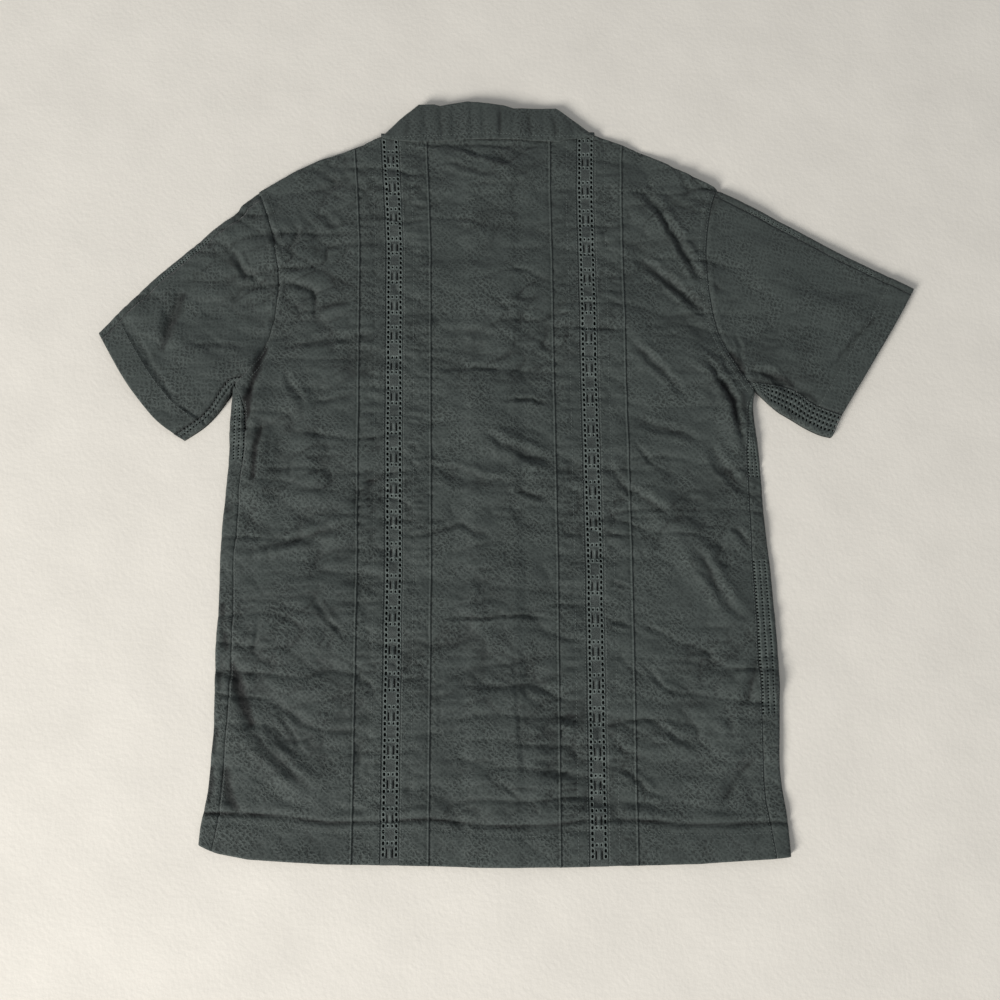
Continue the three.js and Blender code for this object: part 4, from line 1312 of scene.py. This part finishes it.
def build_front(side):
    """Front with its lap, folded round the side on to the upper side, and over the shoulder."""
    left = side < 0
    coarse = 3 * bpy.context.scene.shirt_cloth.spacing / MM
    lap_c = -side * LAP_HALF_WIDTH
    underarm = np.array(ARMHOLE[side][-1], float)
    edge = side_line("edge_" + SIDE_NAME[side])
    seam = side_line("seam_" + SIDE_NAME[side])
    edge[0, 1] = hem_y(edge[0, 0])
    seam[0, 1] = hem_y(seam[0, 0])
    edge = rounded(np.concatenate([edge, underarm[None]]))
    seam = rounded(np.concatenate([seam, underarm[None]]))
    side_rows = round(length_of(edge) / EYELET_STEP)
    armhole = rounded(np.array(ARMHOLE[side], float)[::-1])
    arm_rows = round(length_of(armhole) / coarse)
    outer = np.concatenate([spaced(edge, side_rows), spaced(armhole, arm_rows)[1:]])
    rows = len(outer) - 1
    lap_low = float(hem_end(lap_c))
    lap = spaced(line_at(lap_c, np.linspace(lap_low, FRONT_NECK_Y, 60)), rows)
    shoulder = shoulder_line(side)
    neck = front_neckline(side, lap_c)
    shoulder_columns = round(length_of(shoulder) / coarse)
    neck_columns = round(length_of(neck) / coarse)
    top = np.concatenate([spaced(shoulder[::-1], shoulder_columns), spaced(neck, neck_columns)[1:]])
    hem_x = np.linspace(edge[0, 0], float(middle_x(lap_low) + lap_c), 50)
    hem = spaced(np.stack([hem_x, hem_y(hem_x)], -1), len(top) - 1)
    flat = patch(hem, top, outer, lap)
    x = flat[..., 0]
    y = flat[..., 1]
    height = lower_height(x - middle_x(y), x, y, lapped=not left)
    bottom = with_height(flat, height)
    side_edge = bottom[: side_rows + 1, 0]
    wrap = folded_strip(side_edge[:, :2], spaced(seam, side_rows), side_edge[:, 2])
    over = bottom[-1, : shoulder_columns + 1]
    over_seam = over[:, :2] + np.array([0, -SHOULDER_WRAP - 1.0])
    shoulder_strip = folded_strip(over[:, :2], over_seam, over[:, 2], top_steps=2)
    pierced = rows_in_spans(wrap[:, -1, 1], OPENWORK_Y[side])
    hole_columns = range(STRIP_TURN + 1, STRIP_TURN + STRIP_TOP, 3)
    meshes = [
        grid_mesh(bottom, flat, flip=left),
        strip_mesh(wrap, pierced, hole_columns, flip=not left),
        grid_mesh(shoulder_strip, strip_uv(shoulder_strip), flip=not left),
    ]
    area = flat_area(bottom) + flat_area(wrap) + flat_area(shoulder_strip)
    finish_cloth("front_" + SIDE_NAME[side], meshes, FLAT_SIZE["front"], area)


# Sleeves


def trimmed(line, start_gap, end_gap):
    """The line without a length at each end."""
    total = length_of(line)
    return spaced(line, np.linspace(start_gap / total, 1 - end_gap / total, 60))


def sleeve_seams(side):
    """Edges of a sleeve's back half: the seam along its top, the cuff, the armhole and the underarm seam."""
    cuff = rounded(CUFF[side])
    armhole = rounded(ARMHOLE[side])
    low_seam = rounded(UNDERARM_SEAM[side])
    cuff_part = trimmed(cuff, SLEEVE_WRAP, np.linalg.norm(low_seam[0] - cuff[-1]))
    cuff_part[-1] = low_seam[0]
    arm_part = trimmed(armhole, SLEEVE_WRAP, np.linalg.norm(low_seam[-1] - armhole[-1]))
    arm_part[-1] = low_seam[-1]
    middle = beside(rounded(SLEEVE_TOP[side]), -side * SLEEVE_WRAP)[5:-5]
    top_seam = np.concatenate([arm_part[:1], middle, cuff_part[:1]])
    return top_seam, cuff_part, arm_part, low_seam


def sleeve_patch(low, top, armhole, cuff, spacing_across, spacing_along):
    """Flat grid of a sleeve half between its four edges, which run from the armhole or from the top."""
    across = round(length_of(top) / spacing_across)
    along = round(length_of(cuff) / spacing_along)
    return patch(
        spaced(low[::-1], across),
        spaced(top, across),
        spaced(armhole[::-1], along),
        spaced(cuff[::-1], along),
    )


def sleeve_grain(side):
    """Turn of the sleeve's cloth in degrees, square to its upper edge."""
    top = rounded(SLEEVE_TOP[side])
    return 90 - math.degrees(math.atan2(top[-1, 1] - top[0, 1], top[-1, 0] - top[0, 0]))


def build_sleeve_back(side):
    """Back half of a sleeve, between the edges that the front half folds on to it."""
    spacing = bpy.context.scene.shirt_cloth.spacing / MM
    name = "sleeve_" + SIDE_NAME[side]
    top_seam, cuff, armhole, low_seam = sleeve_seams(side)
    upper = sleeve_patch(low_seam, top_seam, armhole, cuff, spacing, spacing)
    points, uv, crease = upper_grid(upper, sleeve_grain(side))
    finish_cloth(
        name + "_back",
        [grid_mesh(points, uv, flip=side < 0, crease=crease)],
        (length_of(top_seam) + SLEEVE_BACK_ALLOWANCE, length_of(armhole) + SLEEVE_BACK_ALLOWANCE),
        flat_area(points),
    )


def build_sleeve_front(side):
    """Front half of a sleeve: it lies underneath, and folds over the upper edge and under the arm."""
    spacing = bpy.context.scene.shirt_cloth.spacing / MM
    left = side < 0
    name = "sleeve_" + SIDE_NAME[side]
    top = rounded(SLEEVE_TOP[side])
    armhole = rounded(ARMHOLE[side])
    top_seam, _, _, low_seam = sleeve_seams(side)
    under = sleeve_patch(
        rounded(SLEEVE_LOW[side]), top, armhole, rounded(CUFF[side]), EYELET_STEP, 2 * spacing
    )
    across = under.shape[1] - 1
    x, y = under[..., 0], under[..., 1]
    bottom = with_height(under, lower_height(x - middle_x(y), x, y, lapped=False))
    top_edge, low_edge = bottom[-1], bottom[0]
    top_strip = folded_strip(top_edge[:, :2], spaced(top_seam, across), top_edge[:, 2], top_steps=5)
    low_steps = UNDERARM_STEPS[side]
    low_strip = folded_strip(
        low_edge[:, :2], spaced(low_seam[::-1], across), low_edge[:, 2], top_steps=low_steps
    )
    top_pierced = rows_in_spans(top_strip[:, -1, 0], OPENWORK_SLEEVE_TOP[side])
    low_pierced = np.ones(across + 1, bool)
    low_columns = range(STRIP_TURN + 1, STRIP_TURN + low_steps, 2)
    meshes = [
        grid_mesh(bottom, turned(under, sleeve_grain(side)), flip=not left),
        strip_mesh(top_strip, top_pierced, (STRIP_TURN + 1, STRIP_TURN + 3), flip=left),
        strip_mesh(low_strip, low_pierced, low_columns, flip=not left),
    ]
    finish_cloth(
        name + "_front",
        meshes,
        (length_of(top) + SLEEVE_FRONT_ALLOWANCE, length_of(armhole) + SLEEVE_FRONT_ALLOWANCE),
        flat_area(bottom) + flat_area(top_strip) + flat_area(low_strip),
    )


# Collar


COLLAR_WALL = 1.2
COLLAR_CLOTH = 0.7
COLLAR_GAP = 0.8
COLLAR_STAND = 3.1
COLLAR_BASE_Y = 340
COLLAR_END = 112
COLLAR_ROLL_RADIUS = 1.5
FALL_STEPS = 22
NECK_STEPS = 7
FRONT_COLLAR_STEPS = 44
COLLAR_WRINKLES = {
    "c": (-84, -66, -49, -37, -18, -4, 13, 27, 44, 58, 70, 88),
    "depth": (0.8, 0.3, 0.9, 0.4, 0.6, 0.3, 1.5, 0.4, 0.9, 0.3, 1.0, 0.6),
    "lean": (6, 3, -2, 1, 2, -1, 1, 2, -3, -2, -4, -6),
}


def collar_columns():
    """Distances of the collar's columns from the middle line; the roll's corners are among them."""
    side = np.linspace(ROLL_CORNER_C, COLLAR_END, 15)
    middle = np.linspace(-ROLL_CORNER_C, ROLL_CORNER_C, 91)
    return np.concatenate([-side[:0:-1], middle, side[1:]])


def collar_wrinkle(c, share):
    """Depth of the upright wrinkles in the fall at distance c and at a share of its height."""
    depth = np.zeros(np.shape(c))
    for place, deep, lean in zip(COLLAR_WRINKLES["c"], COLLAR_WRINKLES["depth"], COLLAR_WRINKLES["lean"]):
        middle = place + lean * (share - 0.5)
        depth += deep * bell(c - middle, 2.2) * math.sin(math.pi * (0.12 + 0.8 * share))
    return depth


def collar_fall(c, leaf_y, roll_y, at_neck):
    """Points and shadows of the fall, from its lower edge up and round the roll to the neck or the floor."""
    rows = []
    shadows = []
    waves = 0.9 * noise(c / 11, c * 0, 91) + 0.5 * noise(c / 5, c * 0, 92)
    roll_start = roll_y - COLLAR_ROLL_RADIUS
    for share in np.arange(FALL_STEPS + 1) / FALL_STEPS:
        flat = line_at(c, leaf_y + (roll_start - leaf_y) * share)
        base = upper_height(flat[:, 0], flat[:, 1] * 0 + COLLAR_BASE_Y)
        smooth = np.convolve(np.pad(base, 4, mode="edge"), np.ones(9) / 9, mode="valid")
        puff = 1.2 * math.sin(math.pi * min(1, share * 1.1))
        puff = puff + waves * math.sin(math.pi * (0.25 + 0.6 * share))
        wrinkle = collar_wrinkle(c, share)
        rows.append(with_height(flat, smooth + COLLAR_WALL + COLLAR_GAP + puff - wrinkle))
        mottled = noise(c / 9, np.full(c.shape, 3 * share), 94)
        shadows.append(np.clip(0.5 * wrinkle - 0.12 + 0.22 * mottled, 0.06, 0.6))
    high = rows[-1][:, 2]
    low = np.where(at_neck, COLLAR_STAND, 0.0)
    half = (high - low) / 2
    middle = (high + low) / 2
    for angle in np.linspace(math.pi / 2, -math.pi / 2, 9)[1:]:
        y = roll_start + COLLAR_ROLL_RADIUS * math.cos(angle)
        rows.append(with_height(line_at(c, y), middle + half * math.sin(angle)))
        shadows.append(np.zeros(len(c)))
    return np.stack(rows), np.stack(shadows)


def build_collar():
    """Fall, roll and stand at the back of the neck, folded round both sides to the leaves in front."""
    c = collar_columns()
    leaf_y = np.interp(c, COLLAR_LEAF["c"], COLLAR_LEAF["y"]) + c * COLLAR_TILT
    roll_y = np.interp(c, COLLAR_ROLL["c"], COLLAR_ROLL["y"]) + c * COLLAR_TILT
    at_neck = np.abs(c) <= ROLL_CORNER_C + 0.1
    fall, shadows = collar_fall(c, leaf_y, roll_y, at_neck)
    inner = np.flatnonzero(at_neck)
    neck_rows = [fall[-1, inner]]
    for k in range(1, NECK_STEPS + 1):
        y = roll_y[inner] - COLLAR_ROLL_RADIUS
        y = y + (back_neck_y(c[inner]) - y) * (k / NECK_STEPS)
        neck_rows.append(with_height(line_at(c[inner], y), np.full(len(inner), COLLAR_STAND)))
    neck = np.stack(neck_rows)
    meshes = [grid_mesh(fall, fall[..., :2], crease=shadows), grid_mesh(neck, neck[..., :2])]
    area = flat_area(fall) + flat_area(neck)
    for side in (-1, 1):
        for grid, flip in front_collar_grids(side, fall, c):
            meshes.append(grid_mesh(grid, grid[..., :2], flip=flip))
            area += flat_area(grid)
    finish_cloth("collar", meshes, FLAT_SIZE["collar"], area, thickness=COLLAR_CLOTH * MM)
    build_stitches("collar_stitching", [fall[3, 4:-4] * 0.6 + fall[4, 4:-4] * 0.4])


def front_collar_grids(side, fall, c):
    """The leaf under a front and the part of the stand that rises from its roll to the front neckline."""
    corner = np.flatnonzero(side * c >= ROLL_CORNER_C - 0.1)
    corner_line = fall[-1, corner, :2]
    if side < 0:
        corner_line = corner_line[::-1]
    steps = FRONT_COLLAR_STEPS
    roll = rounded(line_at(side * np.array(FRONT_ROLL["c"], float), front_collar_y(FRONT_ROLL, side)))
    leaf = rounded(line_at(side * np.array(FRONT_LEAF["c"], float), front_collar_y(FRONT_LEAF, side)))
    roll = spaced(np.concatenate([corner_line[:1], roll[1:]]), steps)
    leaf = spaced(np.concatenate([corner_line[-1:], leaf[1:]]), steps)
    end = spaced(np.stack([roll[-1], leaf[-1]]), len(corner) - 1)
    flat = patch(corner_line, end, roll, leaf)
    yield with_height(flat, np.zeros(flat.shape[:2])), side < 0
    neckline = spaced(front_neckline(side, side * COLLAR_END_C), steps)
    rows = []
    for angle in np.linspace(-math.pi / 2, math.pi / 2, 6):
        rows.append(with_height(roll, np.full(len(roll), 0.75 + 0.75 * math.sin(angle))))
    for share in (0.33, 0.66, 1.0):
        rows.append(with_height(roll + (neckline - roll) * share, np.full(len(roll), LEVEL)))
    yield np.stack(rows, 1), side > 0


def front_collar_y(curve, side):
    return np.array(curve["y"], float) + side * np.array(curve["c"], float) * COLLAR_TILT


# Stitching


STITCH_PITCH = 3.1
STITCH_FILL = 0.37
STITCH_RADIUS = 0.3
STITCH_LIFT = 0.16
BAND_STITCH = 1.6
SEAM_STITCH = 1.6
HEM_STITCH_X = (-276, 256)
ARMHOLE_STITCHES = (1.8, 7.5)


def stitch_unit():
    """One stitch as a small long bead, one unit in radius."""
    unit = bmesh.new()
    bmesh.ops.create_uvsphere(unit, u_segments=5, v_segments=3, radius=1)
    return mesh_of(unit, "stitch")


def build_stitches(name, lines):
    """Stitches along lines of points in space, joined into one piece."""
    starts = []
    ends = []
    for line in lines:
        points = spaced(line, max(1, round(length_of(line) / STITCH_PITCH)))
        starts.append(points[:-1])
        ends.append(points[1:])
    start = np.concatenate(starts)[:, None]
    end = np.concatenate(ends)[:, None]
    unit = stitch_unit()
    whole = bmesh.new()
    for _ in range(len(start)):
        whole.from_mesh(unit)
    mesh = mesh_of(whole, name)
    place = np.empty(len(mesh.vertices) * 3)
    mesh.vertices.foreach_get("co", place)
    local = place.reshape(len(start), len(unit.vertices), 3)
    way = end - start
    run = way * STITCH_FILL
    flat_length = np.linalg.norm(way[..., :2], axis=-1, keepdims=True)
    side = np.concatenate([-way[..., 1:2], way[..., 0:1], way[..., 2:] * 0], -1) / flat_length
    up = np.array([0, 0, 1.0])
    placed = (start + end) / 2 + up * STITCH_LIFT
    placed = placed + run * local[..., 2:] + side * STITCH_RADIUS * local[..., 0:1]
    placed = placed + up * STITCH_RADIUS * local[..., 1:2]
    mesh.vertices.foreach_set("co", (placed * MM).ravel())
    mesh.polygons.foreach_set("use_smooth", [True] * len(mesh.polygons))
    mesh.update()
    bpy.data.meshes.remove(unit)
    piece = new_object(name, mesh)
    mesh.materials.append(thread_material())
    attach(piece, "root")


def on_upper(line):
    """A flat line lifted on to the upper layer."""
    line = spaced(line, max(2, round(length_of(line) / 1.2)))
    return with_height(line, upper_height(line[:, 0], line[:, 1]))


def back_seam_lines():
    """Lines of stitches on the back: beside the bands, the faint lines, the hem and the side seams."""
    lines = []
    offsets = (BAND_HALF + BAND_STITCH, FAINT_OFFSET)
    for band in (-BAND_C, BAND_C):
        for offset in offsets:
            for c in (band - offset, band + offset):
                low = float(hem_end(c)) + 1.5
                high = float(top_y(np.array([c]))[0]) - 6
                lines.append(on_upper(seam_at(c, np.linspace(low, high, 60))))
    hem_x = np.linspace(*HEM_STITCH_X, 80)
    lines.append(on_upper(np.stack([hem_x, hem_crease_y(hem_x) - HEM_STITCH_DROP], -1)))
    for side in (-1, 1):
        seam = side_line("seam_" + SIDE_NAME[side])
        seam[0, 1] = hem_y(seam[0, 0]) + 3
        lines.append(on_upper(rounded(seam) + np.array([-side * SEAM_STITCH, 0])))
    return lines


def sleeve_seam_lines(side):
    """Lines of stitches round a sleeve: two inside the armhole, one along the cuff and one under the arm."""
    lines = []
    armhole = trimmed(rounded(ARMHOLE[side]), 4, 2)
    for distance in ARMHOLE_STITCHES:
        lines.append(on_upper(beside(armhole, side * -distance)))
    cuff = trimmed(rounded(CUFF[side]), 9, 12)
    lines.append(on_upper(beside(cuff, side * -(CUFF_DEPTH - 2))))
    seam = trimmed(rounded(UNDERARM_SEAM[side]), 3, 3)
    lines.append(on_upper(beside(seam, side * SEAM_STITCH)))
    return lines


# Buttons


BUTTON_HOLE_RADIUS = 0.8
BUTTON_HOLE_OFFSET = 1.35
BUTTON_DISH = 0.45
BUTTON_ROUNDING = 0.5
DARK_CLOUD = (0.022, 0.026, 0.025, 1.0)
LIGHT_CLOUD = (0.048, 0.054, 0.052, 1.0)


def button_material():
    """Satin dark slate button, faintly clouded."""
    name = "Slate Button"
    if name in bpy.data.materials:
        return bpy.data.materials[name]
    material, tree, shader = new_material(name)
    cloud = clouds(tree, object_place(tree), 420.0, 3.0, Distortion=1.2)[0]
    tree.links.new(mixed(tree, cloud, DARK_CLOUD, LIGHT_CLOUD), shader.inputs["Base Color"])
    shader.inputs["Roughness"].default_value = 0.32
    return material


def add_cylinder(form, radius, depth, segments):
    return bmesh.ops.create_cone(
        form, cap_ends=True, segments=segments, radius1=radius * MM, radius2=radius * MM, depth=depth * MM
    )


def button_blank():
    """A round button with a rounded edge and a dished face toward the floor."""
    blank = bmesh.new()
    add_cylinder(blank, BUTTON_RADIUS, BUTTON_HEIGHT, 48)
    rims = [edge for edge in blank.edges if abs(edge.verts[0].co.z - edge.verts[1].co.z) < 1e-6]
    rounding = BUTTON_ROUNDING * MM
    bmesh.ops.bevel(blank, geom=rims, offset=rounding, segments=3, affect="EDGES", profile=0.5, material=-1)
    face = min(blank.faces, key=lambda item: item.calc_center_median().z)
    bmesh.ops.inset_region(blank, faces=[face], thickness=rounding)
    bmesh.ops.inset_region(blank, faces=[face], thickness=rounding, depth=-BUTTON_DISH * MM)
    return mesh_of(blank, "button")


def button_drill():
    """Four pins where the holes of a button go."""
    drill = bmesh.new()
    for x_way in (-1, 1):
        for y_way in (-1, 1):
            pin = add_cylinder(drill, BUTTON_HOLE_RADIUS, 3 * BUTTON_HEIGHT, 16)
            shift = Vector((x_way * BUTTON_HOLE_OFFSET * MM, y_way * BUTTON_HOLE_OFFSET * MM, 0))
            bmesh.ops.translate(drill, verts=pin["verts"], vec=shift)
    return mesh_of(drill, "drill")


def build_button(number, y):
    """One four-hole button under the lap; its face looks down."""
    piece = new_object("button_%d_visual" % number, button_blank())
    cutter = new_object("drill", button_drill())
    cut = piece.modifiers.new("Holes", "BOOLEAN")
    cut.object = cutter
    cut.solver = "EXACT"
    bpy.context.view_layer.update()
    drilled = bpy.data.meshes.new_from_object(piece.evaluated_get(bpy.context.evaluated_depsgraph_get()))
    piece.modifiers.clear()
    piece.data = drilled
    bpy.data.objects.remove(cutter)
    place = line_at(0, y)
    drilled.transform(Matrix.Translation((place[0] * MM, place[1] * MM, BUTTON_HEIGHT / 2 * MM)))
    drilled.materials.clear()
    drilled.materials.append(button_material())
    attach(piece, "root")
    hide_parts("button_%d" % number)


# Stage


FLOOR_HALF = 2.5
LIGHT_PLACE = (-3.0, -3.1, 2.4)
LIGHT_SIZE = 1.9
LIGHT_COLOUR = (1.0, 0.975, 0.94)
ROOM_COLOUR = (0.93, 0.96, 1.0, 1.0)
CAMERA_LENS = 36
CAMERA_TARGET = (-0.0073, -0.038, 0.0)


def floor_material():
    """Pale soft pile, almost plain."""
    colour = tuple(bpy.context.scene.shirt_stage.floor_colour)
    material, tree, shader = new_material("Pale Pile")
    place = object_place(tree)
    broad = clouds(tree, place, 14.0, 4.0)[0]
    fine = clouds(tree, place, 240.0, 3.0)[0]
    pile = maths(tree, "MULTIPLY_ADD", broad, 4.0, fine)
    tree.links.new(mixed(tree, broad, shade(colour, 0.92), shade(colour, 1.07)), shader.inputs["Base Color"])
    tree.links.new(bump(tree, 0.4, 0.0007, pile), shader.inputs["Normal"])
    shader.inputs["Roughness"].default_value = 0.95
    shader.inputs["Sheen Weight"].default_value = 0.15
    return material


def build_floor():
    grid = bmesh.new()
    bmesh.ops.create_grid(grid, x_segments=8, y_segments=8, size=FLOOR_HALF)
    floor = new_object("floor", mesh_of(grid, "floor"))
    floor.data.materials.append(floor_material())


def build_light():
    """One large light at the left, low enough to draw out the creases."""
    data = bpy.data.lights.new("key_light", "AREA")
    data.shape = "DISK"
    data.size = LIGHT_SIZE
    data.energy = bpy.context.scene.shirt_stage.key_power
    data.color = LIGHT_COLOUR
    lamp = new_object("key_light", data)
    lamp.location = LIGHT_PLACE
    lamp.rotation_euler = (-Vector(LIGHT_PLACE)).to_track_quat("-Z", "Y").to_euler()


def build_camera():
    """The camera hangs one metre from the shirt, tilted a little from straight down."""
    stage = bpy.context.scene.shirt_stage
    data = bpy.data.cameras.new("camera")
    data.lens = CAMERA_LENS
    data.sensor_width = 36
    data.clip_start = 0.05
    camera = new_object("camera", data)
    target = Vector(CAMERA_TARGET)
    back = Vector((0, -math.sin(stage.tilt), math.cos(stage.tilt)))
    camera.location = target + back * stage.camera_distance
    camera.rotation_euler = (-back).to_track_quat("-Z", "Y").to_euler()
    bpy.context.scene.camera = camera


def set_world():
    world = bpy.data.worlds.new("Soft Room")
    bpy.context.scene.world = world
    world.use_nodes = True
    background = world.node_tree.nodes["Background"]
    background.inputs["Color"].default_value = ROOM_COLOUR
    background.inputs["Strength"].default_value = bpy.context.scene.shirt_stage.room_light


# Properties, operators and panel


class SHIRT_PG_cloth(bpy.types.PropertyGroup):
    """Sizes and colours of the cloth."""

    thickness: bpy.props.FloatProperty(
        name="Thickness", description="Thickness of the cloth", default=0.0006, unit="LENGTH"
    )
    spacing: bpy.props.FloatProperty(
        name="Mesh Spacing",
        description="Distance between the points of the back's mesh",
        default=0.0019,
        unit="LENGTH",
    )
    loft: bpy.props.FloatProperty(
        name="Loft",
        description="How far the upper layer stands off the layer below",
        default=0.0034,
        unit="LENGTH",
    )
    crumple: bpy.props.FloatProperty(
        name="Crumple",
        description="Strength of the small creases, 1 as photographed",
        default=1.0,
        subtype="FACTOR",
    )
    colour: bpy.props.FloatVectorProperty(
        name="Colour",
        description="Colour of the cloth",
        default=(0.0475, 0.0585, 0.0545),
        subtype="COLOR",
    )
    thread_colour: bpy.props.FloatVectorProperty(
        name="Thread Colour",
        description="Colour of the sewing thread",
        default=(0.115, 0.135, 0.127),
        subtype="COLOR",
    )


class SHIRT_PG_stage(bpy.types.PropertyGroup):
    """Floor, light and camera."""

    floor_colour: bpy.props.FloatVectorProperty(
        name="Floor Colour",
        description="Colour of the pale floor",
        default=(0.80, 0.762, 0.69),
        subtype="COLOR",
    )
    tilt: bpy.props.FloatProperty(
        name="Camera Tilt",
        description="Tilt of the camera from straight down",
        default=math.radians(8.5),
        subtype="ANGLE",
    )
    camera_distance: bpy.props.FloatProperty(
        name="Camera Distance",
        description="From the camera to the floor point it looks at",
        default=1.0,
        unit="LENGTH",
    )
    key_power: bpy.props.FloatProperty(
        name="Key Light",
        description="Power of the large light at the left, in watts",
        default=275.0,
        subtype="POWER",
    )
    room_light: bpy.props.FloatProperty(
        name="Room Light",
        description="Strength of the even light from all round",
        default=0.37,
        subtype="FACTOR",
    )


class ShirtStep:
    """What every building step shares."""

    bl_options = {"REGISTER", "UNDO"}

    def execute(self, context):
        self.build()
        return {"FINISHED"}


class SHIRT_OT_stage(ShirtStep, bpy.types.Operator):
    """Makes the floor, the lights and the camera"""

    bl_idname = "shirt.stage"
    bl_label = "Stage"

    def build(self):
        build_floor()
        set_world()
        build_light()
        build_camera()
        bpy.context.scene.view_settings.view_transform = "Standard"


class SHIRT_OT_back(ShirtStep, bpy.types.Operator):
    """Makes the middle and the two sides of the back"""

    bl_idname = "shirt.back"
    bl_label = "Back"

    def build(self):
        build_back_centre()
        build_back_side(-1)
        build_back_side(1)


class SHIRT_OT_lace(ShirtStep, bpy.types.Operator):
    """Makes the two openwork bands"""

    bl_idname = "shirt.lace"
    bl_label = "Lace Bands"

    def build(self):
        build_lace_band(-1)
        build_lace_band(1)


class SHIRT_OT_fronts(ShirtStep, bpy.types.Operator):
    """Makes the two fronts"""

    bl_idname = "shirt.fronts"
    bl_label = "Fronts"

    def build(self):
        build_front(-1)
        build_front(1)


class SHIRT_OT_sleeves(ShirtStep, bpy.types.Operator):
    """Makes the four sleeve halves"""

    bl_idname = "shirt.sleeves"
    bl_label = "Sleeves"

    def build(self):
        for side in (-1, 1):
            build_sleeve_back(side)
            build_sleeve_front(side)


class SHIRT_OT_collar(ShirtStep, bpy.types.Operator):
    """Makes the collar"""

    bl_idname = "shirt.collar"
    bl_label = "Collar"

    def build(self):
        build_collar()


class SHIRT_OT_stitching(ShirtStep, bpy.types.Operator):
    """Sews the back and the sleeves"""

    bl_idname = "shirt.stitching"
    bl_label = "Stitching"

    def build(self):
        build_stitches("back_stitching", back_seam_lines())
        build_stitches("sleeve_left_stitching", sleeve_seam_lines(-1))
        build_stitches("sleeve_right_stitching", sleeve_seam_lines(1))


class SHIRT_OT_buttons(ShirtStep, bpy.types.Operator):
    """Makes the six buttons"""

    bl_idname = "shirt.buttons"
    bl_label = "Buttons"

    def build(self):
        for number, y in enumerate(BUTTON_Y, 1):
            build_button(number, y)


class SHIRT_PT_panel(bpy.types.Panel):
    """The shirt's sizes and its building steps."""

    bl_idname = "SHIRT_PT_panel"
    bl_label = "Cabana Shirt"
    bl_space_type = "VIEW_3D"
    bl_region_type = "UI"
    bl_category = "Shirt"

    def draw(self, context):
        column = self.layout.column()
        for group in (context.scene.shirt_cloth, context.scene.shirt_stage):
            for name in group.__annotations__:
                column.prop(group, name)
        for step in STEPS:
            column.operator(step.bl_idname)


STEPS = (
    SHIRT_OT_stage,
    SHIRT_OT_back,
    SHIRT_OT_lace,
    SHIRT_OT_fronts,
    SHIRT_OT_sleeves,
    SHIRT_OT_collar,
    SHIRT_OT_stitching,
    SHIRT_OT_buttons,
)
CLASSES = (SHIRT_PG_cloth, SHIRT_PG_stage, *STEPS, SHIRT_PT_panel)


def register():
    for item in CLASSES:
        bpy.utils.register_class(item)
    bpy.types.Scene.shirt_cloth = bpy.props.PointerProperty(type=SHIRT_PG_cloth)
    bpy.types.Scene.shirt_stage = bpy.props.PointerProperty(type=SHIRT_PG_stage)


def unregister():
    del bpy.types.Scene.shirt_cloth
    del bpy.types.Scene.shirt_stage
    for item in reversed(CLASSES):
        bpy.utils.unregister_class(item)


def main():
    register()
    bpy.ops.shirt.stage()
    bpy.ops.shirt.back()
    bpy.ops.shirt.lace()
    bpy.ops.shirt.fronts()
    bpy.ops.shirt.sleeves()
    bpy.ops.shirt.collar()
    bpy.ops.shirt.stitching()
    bpy.ops.shirt.buttons()


if __name__ == "__main__":
    main()
